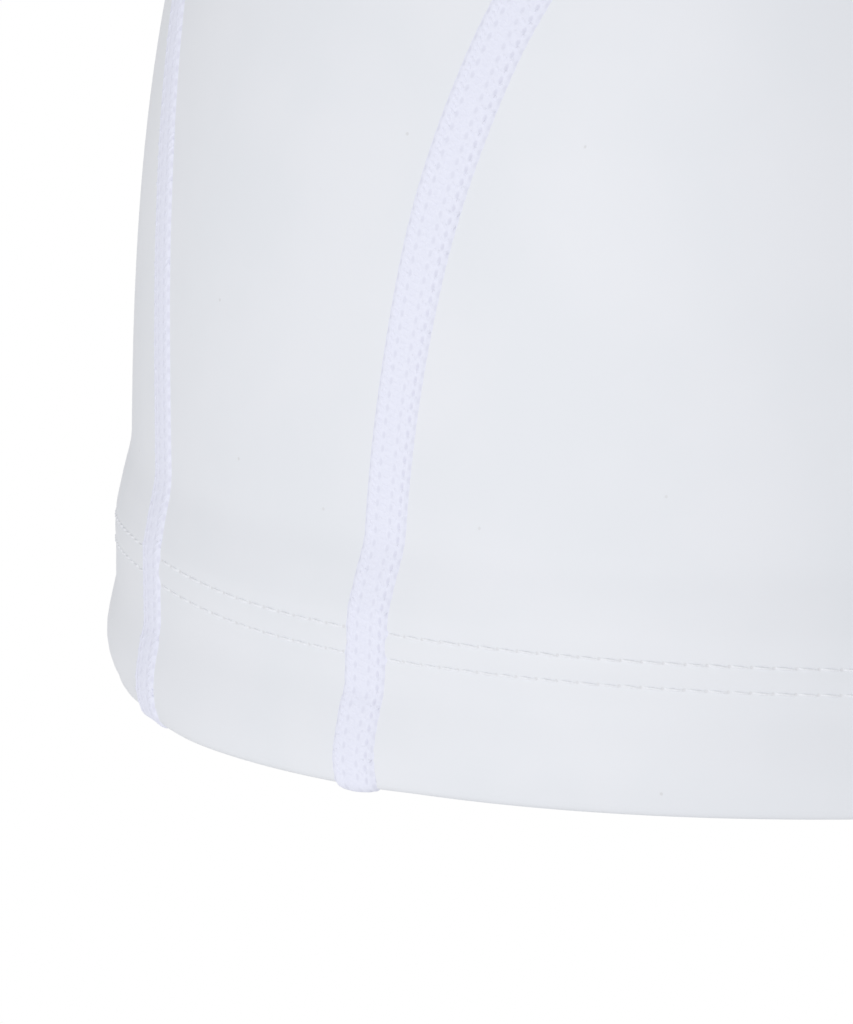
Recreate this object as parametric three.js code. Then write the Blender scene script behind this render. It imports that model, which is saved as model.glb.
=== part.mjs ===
// White three-panel swim cap in the form it takes on a head, sewn from a centre panel and two side panels.
// Millimetres, +Z up. The front of the cap faces -Y and the wearer's left is +X.
// The origin is the point inside the crown that sits on the top of the head.

import * as THREE from 'three';

// Driving dimensions of the cap
const halfLength = 95; // middle of the cap to its outside, front and back
const halfWidth = 84; // middle of the cap to its outside, over the ears
const crownHeight = 160; // hem edge to the top of the crown
const uprightHeight = 15; // the wall stands upright below this height and curves in above it
const crownSetBack = 10; // the top of the crown lies this far behind the middle of the hem
const crownFullness = 2.8; // exponent of the crown's profile, 2 for an ellipse and more for a fuller crown

// Driving dimensions of the cloth and its hem
const clothThickness = 1.2;
const hemDepth = 20; // how far the cloth is turned up inside
const hemSlit = 0.3; // between the two layers of the hem
const hemFlare = 3.4; // how far the doubled hem stands out at its widest

// Driving dimensions of the two flatlock seams
const crownPanelHalfWidth = 52; // middle of the centre panel to the seam, at the top of the crown
const bandWidth = 6.4; // the cover band outside and its twin inside
const bandThickness = 0.4;
const joinWidth = 0.6; // thread that passes between the butted panel edges
const clearance = 0.3; // between the thread and the cloth

// The fineness of the surfaces
const wallRows = 8; // from the top of the hem to the shoulder
const crownRows = 26; // from the front shoulder over the crown to the back shoulder
const foldSteps = 4;
const centreColumns = 6;

// Flare of the hem by height. height is a share of hemDepth, flare a share of hemFlare.
const hemShape = [
  { height: 0, flare: 0.88 },
  { height: 0.15, flare: 1 },
  { height: 0.45, flare: 0.77 },
  { height: 0.6, flare: 0.57 },
  { height: 1, flare: 0.56 },
  { height: 1.2, flare: 0.35 },
  { height: 1.5, flare: 0 },
];

// Course of the seams. along is a share of the way from the hem to the top of the crown,
// halfWidth a share of crownPanelHalfWidth.
const seamCourse = [
  { along: 0, halfWidth: 0.404 },
  { along: 0.14, halfWidth: 0.426 },
  { along: 0.28, halfWidth: 0.49 },
  { along: 0.4, halfWidth: 0.595 },
  { along: 0.5, halfWidth: 0.725 },
  { along: 0.75, halfWidth: 0.935 },
  { along: 1, halfWidth: 1 },
];

// Places that follow from the driving dimensions
const foldRadius = clothThickness + hemSlit / 2;
const hemTop = hemShape.at(-1).height * hemDepth;
const shoulderHeight = 0.65 * crownHeight;
const edgeMargin = joinWidth / 2 + clearance; // seam line to the edge of a panel
const bandMargin = bandWidth / 2 + 1; // seam line to the first line of a panel that is clear of the band
const hemThickness = 2 * clothThickness + hemSlit;
const tiny = 0.001; // step for finding slopes
const FRONT = -1;
const BACK = 1;

const clothMaterial = new THREE.MeshStandardMaterial({ color: '#e6e8ec', roughness: 0.45, metalness: 0 });
const threadMaterial = new THREE.MeshStandardMaterial({ color: '#e3e5f4', roughness: 0.75, metalness: 0 });

// Straight-line reading of a table at x
function readLinear(table, xKey, yKey, x) {
  const next = table.findIndex((entry) => entry[xKey] > x);
  if (next <= 0) return (next === 0 ? table[0] : table.at(-1))[yKey];
  const low = table[next - 1];
  const high = table[next];
  return THREE.MathUtils.mapLinear(x, low[xKey], high[xKey], low[yKey], high[yKey]);
}

// Smooth reading of a table at x, which keeps to the table's own rise and fall
function readSmooth(table, xKey, yKey, x) {
  const slopes = table.slice(1).map((entry, i) => (
    (entry[yKey] - table[i][yKey]) / (entry[xKey] - table[i][xKey])
  ));
  const slopeAt = (i) => {
    if (i === 0 || i === table.length - 1) return 0;
    const product = slopes[i - 1] * slopes[i];
    return product <= 0 ? 0 : (2 * product) / (slopes[i - 1] + slopes[i]);
  };
  const found = table.findIndex((entry) => entry[xKey] > x);
  if (found === 0) return table[0][yKey];
  if (found < 0) return table.at(-1)[yKey];
  const i = found - 1;
  const step = table[found][xKey] - table[i][xKey];
  const t = (x - table[i][xKey]) / step;
  const rise = 3 * t * t - 2 * t * t * t;
  const startTurn = t * (1 - t) * (1 - t) * step * slopeAt(i);
  const endTurn = t * t * (1 - t) * step * slopeAt(found);
  return table[i][yKey] * (1 - rise) + table[found][yKey] * rise + startTurn - endTurn;
}

// Share of the cap's full plan that is left at a height
function planShare(height) {
  const climb = THREE.MathUtils.clamp((height - uprightHeight) / (crownHeight - uprightHeight), 0, 1);
  return (1 - climb ** crownFullness) ** (1 / crownFullness);
}

// Half axes of the oval plan at a height, and how far its middle lies behind the middle of the hem
function planAt(height) {
  const share = planShare(height);
  const flare = hemFlare * readLinear(hemShape, 'height', 'flare', height / hemDepth);
  return {
    across: halfWidth * share + flare,
    lengthways: halfLength * share + flare,
    setBack: crownSetBack * (1 - share),
  };
}

// Point on the outside of the cap: angle 0 is the front, a quarter turn the wearer's left
function outsidePoint(angle, height) {
  const plan = planAt(height);
  const x = plan.across * Math.sin(angle);
  const y = plan.setBack - plan.lengthways * Math.cos(angle);
  return new THREE.Vector3(x, y, height);
}

function angleOf(point) {
  const plan = planAt(point.z);
  return Math.atan2(point.x / plan.across, (plan.setBack - point.y) / plan.lengthways);
}

// Outward direction that the cloth's thickness is measured along: level round the hem and square to
// the surface above it
function outwardAt(point) {
  const angle = angleOf(point);
  const plan = planAt(point.z);
  const level = new THREE.Vector3(Math.sin(angle) / plan.across, -Math.cos(angle) / plan.lengthways, 0);
  level.normalize();
  if (point.z < hemTop + tiny) return level;
  const above = outsidePoint(angle, point.z + tiny);
  const below = outsidePoint(angle, point.z - tiny);
  const up = above.sub(below).normalize();
  const round = new THREE.Vector3(plan.across * Math.cos(angle), plan.lengthways * Math.sin(angle), 0);
  return round.cross(up).normalize();
}

// Point on the outside at a distance x from the middle, in the level row at a height on the front or back
function wallPoint(x, height, end) {
  const plan = planAt(height);
  const angle = Math.asin(x / plan.across);
  const y = plan.setBack + end * plan.lengthways * Math.cos(angle);
  return new THREE.Vector3(x, y, height);
}

// Point on the outside of the crown at a distance x from the middle, in the row that leans back by an angle
// about a level line at the shoulder, from 0 at the front to a half turn at the back
function crownPoint(x, lean) {
  const middle = planAt(shoulderHeight).setBack;
  let inside = 0;
  let outside = 2 * crownHeight;
  for (let i = 0; i < 50; i += 1) {
    const reach = (inside + outside) / 2;
    const z = shoulderHeight + reach * Math.sin(lean);
    const y = middle - reach * Math.cos(lean);
    const plan = planAt(Math.min(z, crownHeight));
    const isInPlan = (x / plan.across) ** 2 + ((y - plan.setBack) / plan.lengthways) ** 2 < 1;
    const isInside = z < crownHeight && isInPlan;
    if (isInside) inside = reach;
    else outside = reach;
  }
  return new THREE.Vector3(x, middle - inside * Math.cos(lean), shoulderHeight + inside * Math.sin(lean));
}

// Rows of the cap from the front hem over the crown to the back hem. Each knows its point at a distance x.
function levelRow(height, end) {
  return { height, end, pointAt: (x) => wallPoint(x, height, end) };
}

function crownRow(lean) {
  return { pointAt: (x) => crownPoint(x, lean) };
}

const hemLevels = hemShape.map((row) => Math.max(row.height * hemDepth, foldRadius));
const wallLevels = Array.from({ length: wallRows }, (_, i) => (
  THREE.MathUtils.lerp(hemTop, shoulderHeight, (i + 1) / wallRows)
));
const upperLevels = [...hemLevels, ...wallLevels];
const crownLeans = Array.from({ length: crownRows - 1 }, (_, i) => (Math.PI * (i + 1)) / crownRows);
const rows = [
  ...upperLevels.map((height) => levelRow(height, FRONT)),
  ...crownLeans.map(crownRow),
  ...upperLevels.toReversed().map((height) => levelRow(height, BACK)),
];

// Way that each row has come from the front hem, measured along the middle of the cap
const middlePoints = rows.map((row) => row.pointAt(0));
const travelled = [foldRadius];
for (let i = 1; i < rows.length; i += 1) {
  travelled.push(travelled[i - 1] + middlePoints[i].distanceTo(middlePoints[i - 1]));
}
const fullTravel = travelled.at(-1) + foldRadius;
rows.forEach((row, i) => {
  const along = 1 - Math.abs(1 - (2 * travelled[i]) / fullTravel);
  row.halfWidth = crownPanelHalfWidth * readSmooth(seamCourse, 'along', 'halfWidth', along);
});

// Seam line on one side: a point for each row, with the outward direction and the direction away from
// the centre panel
const seamPoints = rows.map((row) => row.pointAt(row.halfWidth));
rows.forEach((row, i) => {
  const point = seamPoints[i];
  const outward = outwardAt(point);
  const onHem = point.z <= hemTop;
  const before = seamPoints[Math.max(i - 1, 0)];
  const after = seamPoints[Math.min(i + 1, rows.length - 1)];
  const course = onHem ? new THREE.Vector3(0, 0, -row.end) : after.clone().sub(before).normalize();
  row.seam = { point, outward, sideways: course.clone().cross(outward).normalize() };
  if (row.seam.sideways.x * Math.sign(point.x) < 0) row.seam.sideways.negate();
});

// Section of the turned-up cloth, from the raw edge inside down and round the fold. Each step gives the
// outer and inner face of the cloth as an inset from the outside of the cap and a height.
const turnedUp = hemLevels.filter((level) => level <= hemDepth).toReversed().map((level) => ({
  level,
  outer: { inset: hemThickness, height: level },
  inner: { inset: clothThickness + hemSlit, height: level },
}));
const fold = Array.from({ length: foldSteps - 1 }, (_, i) => {
  const turn = Math.PI * (1 - (i + 1) / foldSteps);
  const onFold = (radius) => ({
    inset: foldRadius - radius * Math.cos(turn),
    height: foldRadius - radius * Math.sin(turn),
  });
  return { level: foldRadius, outer: onFold(foldRadius), inner: onFold(hemSlit / 2) };
});
const hemSection = [...turnedUp, ...fold];

// Both faces of the cloth at a place on the outside of the cap, or at that place's step of the hem section
function clothAt(place, step) {
  const outward = outwardAt(place);
  const face = (inset) => place.clone().addScaledVector(outward, -inset);
  if (!step) return [face(0), face(clothThickness)];
  return [face(step.outer.inset).setZ(step.outer.height), face(step.inner.inset).setZ(step.inner.height)];
}

// Closed solid from patches of cloth. A patch is a grid of spots, each an outer and an inner point of the
// cloth. Patches are joined along the spots that they share, and a rim closes every free edge.
function solidOf(patches) {
  const spots = [...new Set(patches.flat(2))];
  const numbers = new Map(spots.map((spot, i) => [spot, 2 * i]));
  const positions = spots.flatMap(([outer, inner]) => [...outer.toArray(), ...inner.toArray()]);
  const index = [];
  const quad = (a, b, c, d) => index.push(a, b, c, a, c, d);
  const edges = new Map();
  for (const patch of patches) {
    for (let i = 0; i + 1 < patch.length; i += 1) {
      for (let j = 0; j + 1 < patch[i].length; j += 1) {
        const around = [patch[i][j], patch[i][j + 1], patch[i + 1][j + 1], patch[i + 1][j]];
        const [a, b, c, d] = around.map((spot) => numbers.get(spot));
        quad(a, b, c, d);
        quad(a + 1, d + 1, c + 1, b + 1);
        for (const [from, to] of [[a, b], [b, c], [c, d], [d, a]]) edges.set(`${from} ${to}`, [from, to]);
      }
    }
  }
  for (const [from, to] of edges.values()) {
    if (!edges.has(`${to} ${from}`)) quad(to, from, from + 1, to + 1);
  }
  return geometryOf(positions, index);
}

function geometryOf(positions, index) {
  const geometry = new THREE.BufferGeometry();
  geometry.setAttribute('position', new THREE.Float32BufferAttribute(positions, 3));
  geometry.setIndex(index);
  geometry.computeVertexNormals();
  return geometry;
}

function mirrored(geometry) {
  const { array } = geometry.getAttribute('position');
  const positions = array.map((value, i) => (i % 3 === 0 ? -value : value));
  return geometryOf([...positions], [...geometry.getIndex().array].reverse());
}

// Place on the outside of the cap at a distance to the side of the seam line, away from the centre panel
function besideSeam(row, distance) {
  const point = row.seam.point.clone().addScaledVector(row.seam.sideways, distance);
  return outsidePoint(angleOf(point), point.z);
}

// Places across the centre panel in one row: its edge, the line that clears the seam band, the middle
// columns, and the same again on the other side
function centrePlaces(row) {
  const edge = besideSeam(row, -edgeMargin);
  const border = besideSeam(row, -bandMargin);
  const middle = Array.from({ length: centreColumns - 1 }, (_, j) => (
    row.pointAt(border.x * ((2 * (j + 1)) / centreColumns - 1))
  ));
  const opposite = (place) => place.clone().setX(-place.x);
  return [opposite(edge), opposite(border), ...middle, border, edge];
}

function centrePanelGeometry() {
  const hemRows = (end) => hemSection.map((step) => {
    const row = rows.find((each) => each.end === end && each.height === step.level);
    return centrePlaces(row).map((place) => clothAt(place, step));
  });
  const outerRows = rows.map((row) => centrePlaces(row).map((place) => clothAt(place)));
  return solidOf([[...hemRows(FRONT), ...outerRows, ...hemRows(BACK).toReversed()]]);
}

// Line of the left side panel that clears the seam band, as angle and height on the outside of the cap
const sideBorder = rows.map((row) => {
  const place = besideSeam(row, bandMargin);
  return { angle: angleOf(place), height: place.z };
});

// Places along the left side panel's hem at one of its levels, from the front border to the back border
function sideHemPlaces(level) {
  const i = hemLevels.indexOf(level);
  const front = sideBorder[i];
  const back = sideBorder[rows.length - 1 - i];
  return Array.from({ length: crownRows + 1 }, (_, j) => (
    outsidePoint(THREE.MathUtils.lerp(front.angle, back.angle, j / crownRows), level)
  ));
}

// Places of the left side panel above the hem. Their four sides are the top of the hem, the front border
// up to the shoulder, the border over the crown and the back border, and the places between are blended
// from them.
function sideWallPlaces(level) {
  const first = hemLevels.length - 1;
  const shoulder = upperLevels.length - 1;
  const last = rows.length - 1;
  const front = sideBorder[first + level];
  const back = sideBorder[last - first - level];
  const v = level / wallRows;
  const lerp = THREE.MathUtils.lerp;
  return Array.from({ length: crownRows + 1 }, (_, column) => {
    const u = column / crownRows;
    const blend = (key) => {
      const low = lerp(sideBorder[first][key], sideBorder[last - first][key], u);
      const high = lerp(sideBorder[shoulder][key], sideBorder[last - shoulder][key], u);
      const top = sideBorder[shoulder + column][key];
      return lerp(low, top, v) + lerp(front[key], back[key], u) - lerp(low, high, v);
    };
    return outsidePoint(blend('angle'), blend('height'));
  });
}

function sidePanelGeometry() {
  const wallSteps = Array.from({ length: wallRows }, (_, i) => i + 1);
  const body = [
    ...hemSection.map((step) => sideHemPlaces(step.level).map((place) => clothAt(place, step))),
    ...hemLevels.map((level) => sideHemPlaces(level).map((place) => clothAt(place))),
    ...wallSteps.map((level) => sideWallPlaces(level).map((place) => clothAt(place))),
  ];
  const hemEdge = (end) => hemSection.map((step) => {
    const row = rows.find((each) => each.end === end && each.height === step.level);
    return clothAt(besideSeam(row, edgeMargin), step);
  });
  const edge = [
    ...hemEdge(FRONT),
    ...rows.map((row) => clothAt(besideSeam(row, edgeMargin))),
    ...hemEdge(BACK).toReversed(),
  ];
  const border = [
    ...body.map((places) => places[0]),
    ...body.at(-1).slice(1, -1),
    ...body.toReversed().map((places) => places.at(-1)),
  ];
  return solidOf([body, edge.map((spot, i) => [spot, border[i]])]);
}

// Section of a flatlock seam across its course: a cover band outside, a band inside and the thread between
// them. joinHalf is half the width of the thread, innerDepth the depth of the inner band's upper face.
function bandSection(seam, height, joinHalf, innerDepth) {
  const half = bandWidth / 2;
  const corners = [
    [-half, clearance + bandThickness],
    [half, clearance + bandThickness],
    [half, clearance],
    [joinHalf, clearance],
    [joinHalf, -innerDepth],
    [half, -innerDepth],
    [half, -innerDepth - bandThickness],
    [-half, -innerDepth - bandThickness],
    [-half, -innerDepth],
    [-joinHalf, -innerDepth],
    [-joinHalf, clearance],
    [-half, clearance],
  ];
  return corners.map(([aside, proud]) => {
    const point = seam.point.clone();
    point.addScaledVector(seam.sideways, aside);
    point.addScaledVector(seam.outward, proud);
    return height === undefined ? point : point.setZ(height);
  });
}

// Lowest sections of a seam, where its two bands meet under the fold of the hem
function seamFoot(row) {
  const ledge = 0.05;
  const closedHalf = bandWidth / 2 - ledge;
  const innerDepth = hemThickness + clearance;
  return [
    bandSection(row.seam, -clearance - bandThickness, closedHalf, innerDepth),
    bandSection(row.seam, -clearance - ledge, closedHalf, innerDepth),
    bandSection(row.seam, -clearance, joinWidth / 2, innerDepth),
  ];
}

// Sections just above the raw edge of the hem, where the inner band steps down to the single cloth
function seamStep(end) {
  const ramp = 1.5;
  const low = rows.find((row) => row.end === end && row.height === hemDepth);
  const high = rows[rows.indexOf(low) - end];
  const sectionAt = (height, innerDepth) => {
    const t = (height - low.height) / (high.height - low.height);
    const point = low.seam.point.clone().lerp(high.seam.point, t);
    return bandSection({ ...low.seam, point }, undefined, joinWidth / 2, innerDepth);
  };
  const bottom = hemDepth + clearance;
  const sections = [
    sectionAt(bottom, hemThickness + clearance),
    sectionAt(bottom + ramp, clothThickness + clearance),
  ];
  return end === FRONT ? sections : sections.reverse();
}

function seamGeometry() {
  const sections = [...seamFoot(rows[0])];
  rows.forEach((row) => {
    const doubled = row.height <= hemDepth;
    const innerDepth = (doubled ? hemThickness : clothThickness) + clearance;
    const isRawEdge = row.height === hemDepth;
    if (isRawEdge && row.end === BACK) sections.push(...seamStep(BACK));
    sections.push(bandSection(row.seam, undefined, joinWidth / 2, innerDepth));
    if (isRawEdge && row.end === FRONT) sections.push(...seamStep(FRONT));
  });
  sections.push(...seamFoot(rows.at(-1)).reverse());

  const corners = sections[0].length;
  const positions = sections.flatMap((section) => section.flatMap((point) => point.toArray()));
  const index = [];
  const at = (i, j) => i * corners + (j % corners);
  for (let i = 0; i + 1 < sections.length; i += 1) {
    for (let j = 0; j < corners; j += 1) {
      index.push(at(i, j), at(i, j + 1), at(i + 1, j + 1), at(i, j), at(i + 1, j + 1), at(i + 1, j));
    }
  }
  const endFace = [
    [0, 10, 11], [0, 3, 10], [0, 1, 3], [1, 2, 3], [3, 9, 10], [3, 4, 9],
    [4, 7, 9], [7, 8, 9], [4, 5, 7], [5, 6, 7],
  ];
  const lastSection = sections.length - 1;
  for (const [a, b, c] of endFace) {
    index.push(at(0, a), at(0, c), at(0, b), at(lastSection, a), at(lastSection, b), at(lastSection, c));
  }
  return geometryOf(positions, index);
}

function namedMesh(name, geometry, material) {
  const mesh = new THREE.Mesh(geometry, material);
  mesh.name = name;
  return mesh;
}

// A left-hand piece and its mirror image, named for the side of the wearer
function pairOfMeshes(name, geometry, material) {
  return [
    namedMesh(`${name}_left`, geometry, material),
    namedMesh(`${name}_right`, mirrored(geometry), material),
  ];
}

// The cap is laid out above its hem edge and lowered so that the inside of the crown is at the origin
const cap = new THREE.Group();
cap.add(namedMesh('centre_panel', centrePanelGeometry(), clothMaterial));
cap.add(...pairOfMeshes('side_panel', sidePanelGeometry(), clothMaterial));
cap.add(...pairOfMeshes('seam', seamGeometry(), threadMaterial));
cap.position.z = clothThickness - crownHeight;

export default cap;
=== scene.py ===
"""White swim cap in the form that a head gives it.

Three panels of coated cloth are joined by two flatlock seams and end in a sewn hem. The form is that of the
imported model, worked out again from the same driving sizes with far finer surfaces, and dressed with the
stitches, threads and finishes. Lengths are metres, +Z is up, the front of the cap faces -Y and the wearer's
left is +X. The origin is the inside of the crown, where the top of the head sits.
"""

import logging
import math
from collections.abc import Callable, Iterable, Sequence
from dataclasses import dataclass, field
from enum import Enum
from functools import partial
from typing import Any

import bpy
import numpy as np
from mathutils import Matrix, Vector

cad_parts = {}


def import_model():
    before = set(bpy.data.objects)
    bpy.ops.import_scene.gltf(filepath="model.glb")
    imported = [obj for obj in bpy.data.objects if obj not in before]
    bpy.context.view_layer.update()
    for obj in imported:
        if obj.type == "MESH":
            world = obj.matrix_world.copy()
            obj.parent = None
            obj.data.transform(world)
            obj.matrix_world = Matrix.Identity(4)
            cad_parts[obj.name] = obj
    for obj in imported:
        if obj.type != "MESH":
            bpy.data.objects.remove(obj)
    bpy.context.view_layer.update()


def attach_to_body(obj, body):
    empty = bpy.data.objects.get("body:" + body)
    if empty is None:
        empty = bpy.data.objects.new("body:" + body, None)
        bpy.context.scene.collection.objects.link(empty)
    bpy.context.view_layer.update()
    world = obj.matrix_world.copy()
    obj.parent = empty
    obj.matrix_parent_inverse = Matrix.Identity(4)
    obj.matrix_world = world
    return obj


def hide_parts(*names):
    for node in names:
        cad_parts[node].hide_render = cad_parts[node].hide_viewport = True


MM = 0.001
BODY = "root"
TURN = 2 * math.pi
UP = np.array([0.0, 0.0, 1.0])
RIGHT_FOR_LEFT = np.array([-1.0, 1.0, 1.0])
LAST_STATION = 3
NO_STITCH = 99.0
TUCK_EASE = 1.3

log = logging.getLogger("swim_cap")


class Side(Enum):
    """A side of the wearer."""

    LEFT = "left"
    RIGHT = "right"


class End(Enum):
    """An end of the cap, as the sign of its Y."""

    FRONT = -1
    BACK = 1


class Slot(Enum):
    """Material slots of the record."""

    CLOTH = "coated_cloth"
    THREAD = "seam_thread"


def smooth_step(share: np.ndarray) -> np.ndarray:
    """Rise from 0 to 1 with level ends.

    Args:
        share: where on the rise, clipped to 0 and 1.

    Returns:
        The height of the rise there.
    """
    t = np.clip(share, 0, 1)
    return t * t * (3 - 2 * t)


def unit(vectors: np.ndarray) -> np.ndarray:
    """Vectors scaled to length 1 along the last axis."""
    return vectors / np.linalg.norm(vectors, axis=-1, keepdims=True)


def blend(low: Any, high: Any, share: Any) -> Any:
    """Straight blend from low at share 0 to high at share 1."""
    return low + (high - low) * share


def travelled(points: np.ndarray) -> np.ndarray:
    """Length of the way along the first axis of some points, from 0 at the first."""
    steps = np.linalg.norm(np.diff(points, axis=0), axis=-1)
    return np.concatenate([np.zeros((1, *steps.shape[1:])), np.cumsum(steps, axis=0)])


def in_scene(name: str, data: bpy.types.ID) -> bpy.types.Object:
    """A new object in the scene, with its data."""
    made = bpy.data.objects.new(name, data)
    bpy.context.scene.collection.objects.link(made)
    return made


@dataclass(frozen=True)
class Course:
    """A smooth curve through a short table of values, which keeps to the table's own rise and fall.

    Attributes:
        places: where each value holds, rising.
        values: the value at each place.
    """

    places: tuple[float, ...]
    values: tuple[float, ...]

    def read(self, at: np.ndarray) -> np.ndarray:
        """Values of the curve.

        Args:
            at: places to read, held to the table's own range.

        Returns:
            The value at each place.
        """
        x, y = np.array(self.places), np.array(self.values)
        rises = np.diff(y) / np.diff(x)
        slopes = np.zeros(len(x))
        product, total = rises[:-1] * rises[1:], rises[:-1] + rises[1:]
        turning = product > 0
        slopes[1:-1][turning] = 2 * product[turning] / total[turning]
        at = np.clip(at, x[0], x[-1])
        low = np.clip(np.searchsorted(x, at, side="right") - 1, 0, len(x) - 2)
        step = x[low + 1] - x[low]
        t = (at - x[low]) / step
        rise = t * t * (3 - 2 * t)
        start_turn = t * (1 - t) ** 2 * step * slopes[low]
        end_turn = t * t * (1 - t) * step * slopes[low + 1]
        return y[low] * (1 - rise) + y[low + 1] * rise + start_turn - end_turn


@dataclass(frozen=True)
class CapForm:
    """The outside of the cap and the course of its seams.

    A height is measured from the hem edge. An angle is 0 at the front and a quarter turn at the wearer's
    left. A station runs along the cap from the front hem to the back hem: 0 to 1 up the front wall, 1 to 2
    over the crown, 2 to 3 down the back wall.
    """

    half_length: float = 95 * MM
    half_width: float = 84 * MM
    crown_height: float = 160 * MM
    upright_height: float = 15 * MM
    crown_set_back: float = 10 * MM
    crown_fullness: float = 2.8
    shoulder_share: float = 0.65
    cloth: float = 1.2 * MM
    hem_depth: float = 20 * MM
    hem_slit: float = 0.3 * MM
    hem_flare: float = 3.4 * MM
    panel_half_width: float = 52 * MM
    hem_shape: Course = Course(
        places=(0, 0.15, 0.45, 0.6, 1, 1.2, 1.5),
        values=(0.88, 1, 0.77, 0.57, 0.56, 0.35, 0),
    )
    seam_course: Course = Course(
        places=(0, 0.14, 0.28, 0.4, 0.5, 0.75, 1),
        values=(0.404, 0.426, 0.49, 0.595, 0.725, 0.935, 1),
    )

    @property
    def fold_radius(self) -> float:
        """Radius of the outside of the hem's fold."""
        return self.cloth + self.hem_slit / 2

    @property
    def hem_thickness(self) -> float:
        """Thickness of the doubled hem."""
        return 2 * self.cloth + self.hem_slit

    @property
    def hem_top(self) -> float:
        """Height where the hem's flare has died out."""
        return self.hem_shape.places[-1] * self.hem_depth

    @property
    def shoulder(self) -> float:
        """Height where the wall passes into the crown."""
        return self.shoulder_share * self.crown_height

    def lowered(self, points: np.ndarray) -> np.ndarray:
        """Points above the hem edge, moved so that the inside of the crown is at the origin."""
        return points - UP * (self.crown_height - self.cloth)

    def plan(self, height: np.ndarray) -> tuple[np.ndarray, np.ndarray, np.ndarray]:
        """The oval plan of the cap.

        Args:
            height: heights to read.

        Returns:
            Half its width, half its length, and how far its middle lies behind the middle of the hem.
        """
        almost_top = 1 - 1e-12
        climb = (height - self.upright_height) / (self.crown_height - self.upright_height)
        climb = np.clip(climb, 0, almost_top)
        share = (1 - climb**self.crown_fullness) ** (1 / self.crown_fullness)
        flare = self.hem_flare * self.hem_shape.read(height / self.hem_depth)
        set_back = self.crown_set_back * (1 - share)
        return self.half_width * share + flare, self.half_length * share + flare, set_back

    def outside(self, angle: np.ndarray, height: np.ndarray) -> np.ndarray:
        """Points on the outside of the cap.

        Args:
            angle: angle of each point.
            height: height of each point.

        Returns:
            The points, with their coordinates on the last axis.
        """
        across, lengthways, set_back = self.plan(height)
        x = across * np.sin(angle)
        y = set_back - lengthways * np.cos(angle)
        return np.stack(np.broadcast_arrays(x, y, height), axis=-1)

    def angle_of(self, points: np.ndarray) -> np.ndarray:
        """Angle at which each point lies."""
        across, lengthways, set_back = self.plan(points[..., 2])
        return np.arctan2(points[..., 0] / across, (set_back - points[..., 1]) / lengthways)

    def normal(self, points: np.ndarray) -> np.ndarray:
        """Outward direction square to the outside.

        Args:
            points: points on the outside.

        Returns:
            A unit vector for each point.
        """
        tiny = 0.02 * MM
        angle, height = self.angle_of(points), points[..., 2]
        across, lengthways, _ = self.plan(height)
        above = self.outside(angle, np.minimum(height + tiny, self.crown_height))
        rising = above - self.outside(angle, height - tiny)
        round_the_cap = np.stack([across * np.cos(angle), lengthways * np.sin(angle), 0 * angle], axis=-1)
        return unit(np.cross(round_the_cap, rising))

    def outward(self, points: np.ndarray) -> np.ndarray:
        """Direction of the cloth's thickness: level round the hem, square to the cloth above it.

        Args:
            points: points on the outside.

        Returns:
            A unit vector for each point.
        """
        angle = self.angle_of(points)
        across, lengthways, _ = self.plan(points[..., 2])
        level = unit(np.stack([np.sin(angle) / across, -np.cos(angle) / lengthways, 0 * angle], axis=-1))
        above_hem = (points[..., 2] - self.hem_depth) / (self.hem_top - self.hem_depth)
        return unit(blend(level, self.normal(points), smooth_step(above_hem)[..., None]))

    def station_of(self, height: np.ndarray, end: End) -> np.ndarray:
        """Station of a height on the front or the back wall."""
        climbed = (height - self.fold_radius) / (self.shoulder - self.fold_radius)
        return climbed if end is End.FRONT else LAST_STATION - climbed

    def height_of(self, station: np.ndarray) -> np.ndarray:
        """Height of a station on either wall, held to the shoulder on the crown."""
        climbed = np.clip(np.minimum(station, LAST_STATION - station), 0, 1)
        return blend(self.fold_radius, self.shoulder, climbed)

    def across(self, station: np.ndarray, x: np.ndarray) -> np.ndarray:
        """Points on the outside at a distance from the middle of the cap.

        Args:
            station: station of each point.
            x: distance of each point from the middle, towards the wearer's left.

        Returns:
            The points, with their coordinates on the last axis.
        """
        station, x = np.broadcast_arrays(np.asarray(station, float), np.asarray(x, float))
        end = np.where(station < LAST_STATION / 2, End.FRONT.value, End.BACK.value)
        height = self.height_of(station)
        half_width, half_length, set_back = self.plan(height)
        wall_y = set_back + end * half_length * np.sqrt(np.clip(1 - (x / half_width) ** 2, 0, 1))
        wall = np.stack([x, wall_y, height], axis=-1)
        on_crown = (station > 1) & (station < 2)
        return np.where(on_crown[..., None], self._over_crown(np.clip(station, 1, 2), x), wall)

    def _over_crown(self, station: np.ndarray, x: np.ndarray) -> np.ndarray:
        """Points on the crown, each in a plane that leans back about a level line at the shoulder.

        Args:
            station: station of each point, from 1 to 2.
            x: distance of each point from the middle.

        Returns:
            The points, with their coordinates on the last axis.
        """
        lean = math.pi * (station - 1)
        middle = self.plan(np.array(self.shoulder))[2]
        inside = np.zeros(lean.shape)
        outside = np.full(lean.shape, 2 * self.crown_height)
        halvings = 45
        for _ in range(halvings):
            reach = (inside + outside) / 2
            z = self.shoulder + reach * np.sin(lean)
            y = middle - reach * np.cos(lean)
            half_width, half_length, set_back = self.plan(z)
            is_inside = (x / half_width) ** 2 + ((y - set_back) / half_length) ** 2 < 1
            is_inside &= z < self.crown_height
            inside = np.where(is_inside, reach, inside)
            outside = np.where(is_inside, outside, reach)
        return np.stack([x, middle - inside * np.cos(lean), self.shoulder + inside * np.sin(lean)], axis=-1)

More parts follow.
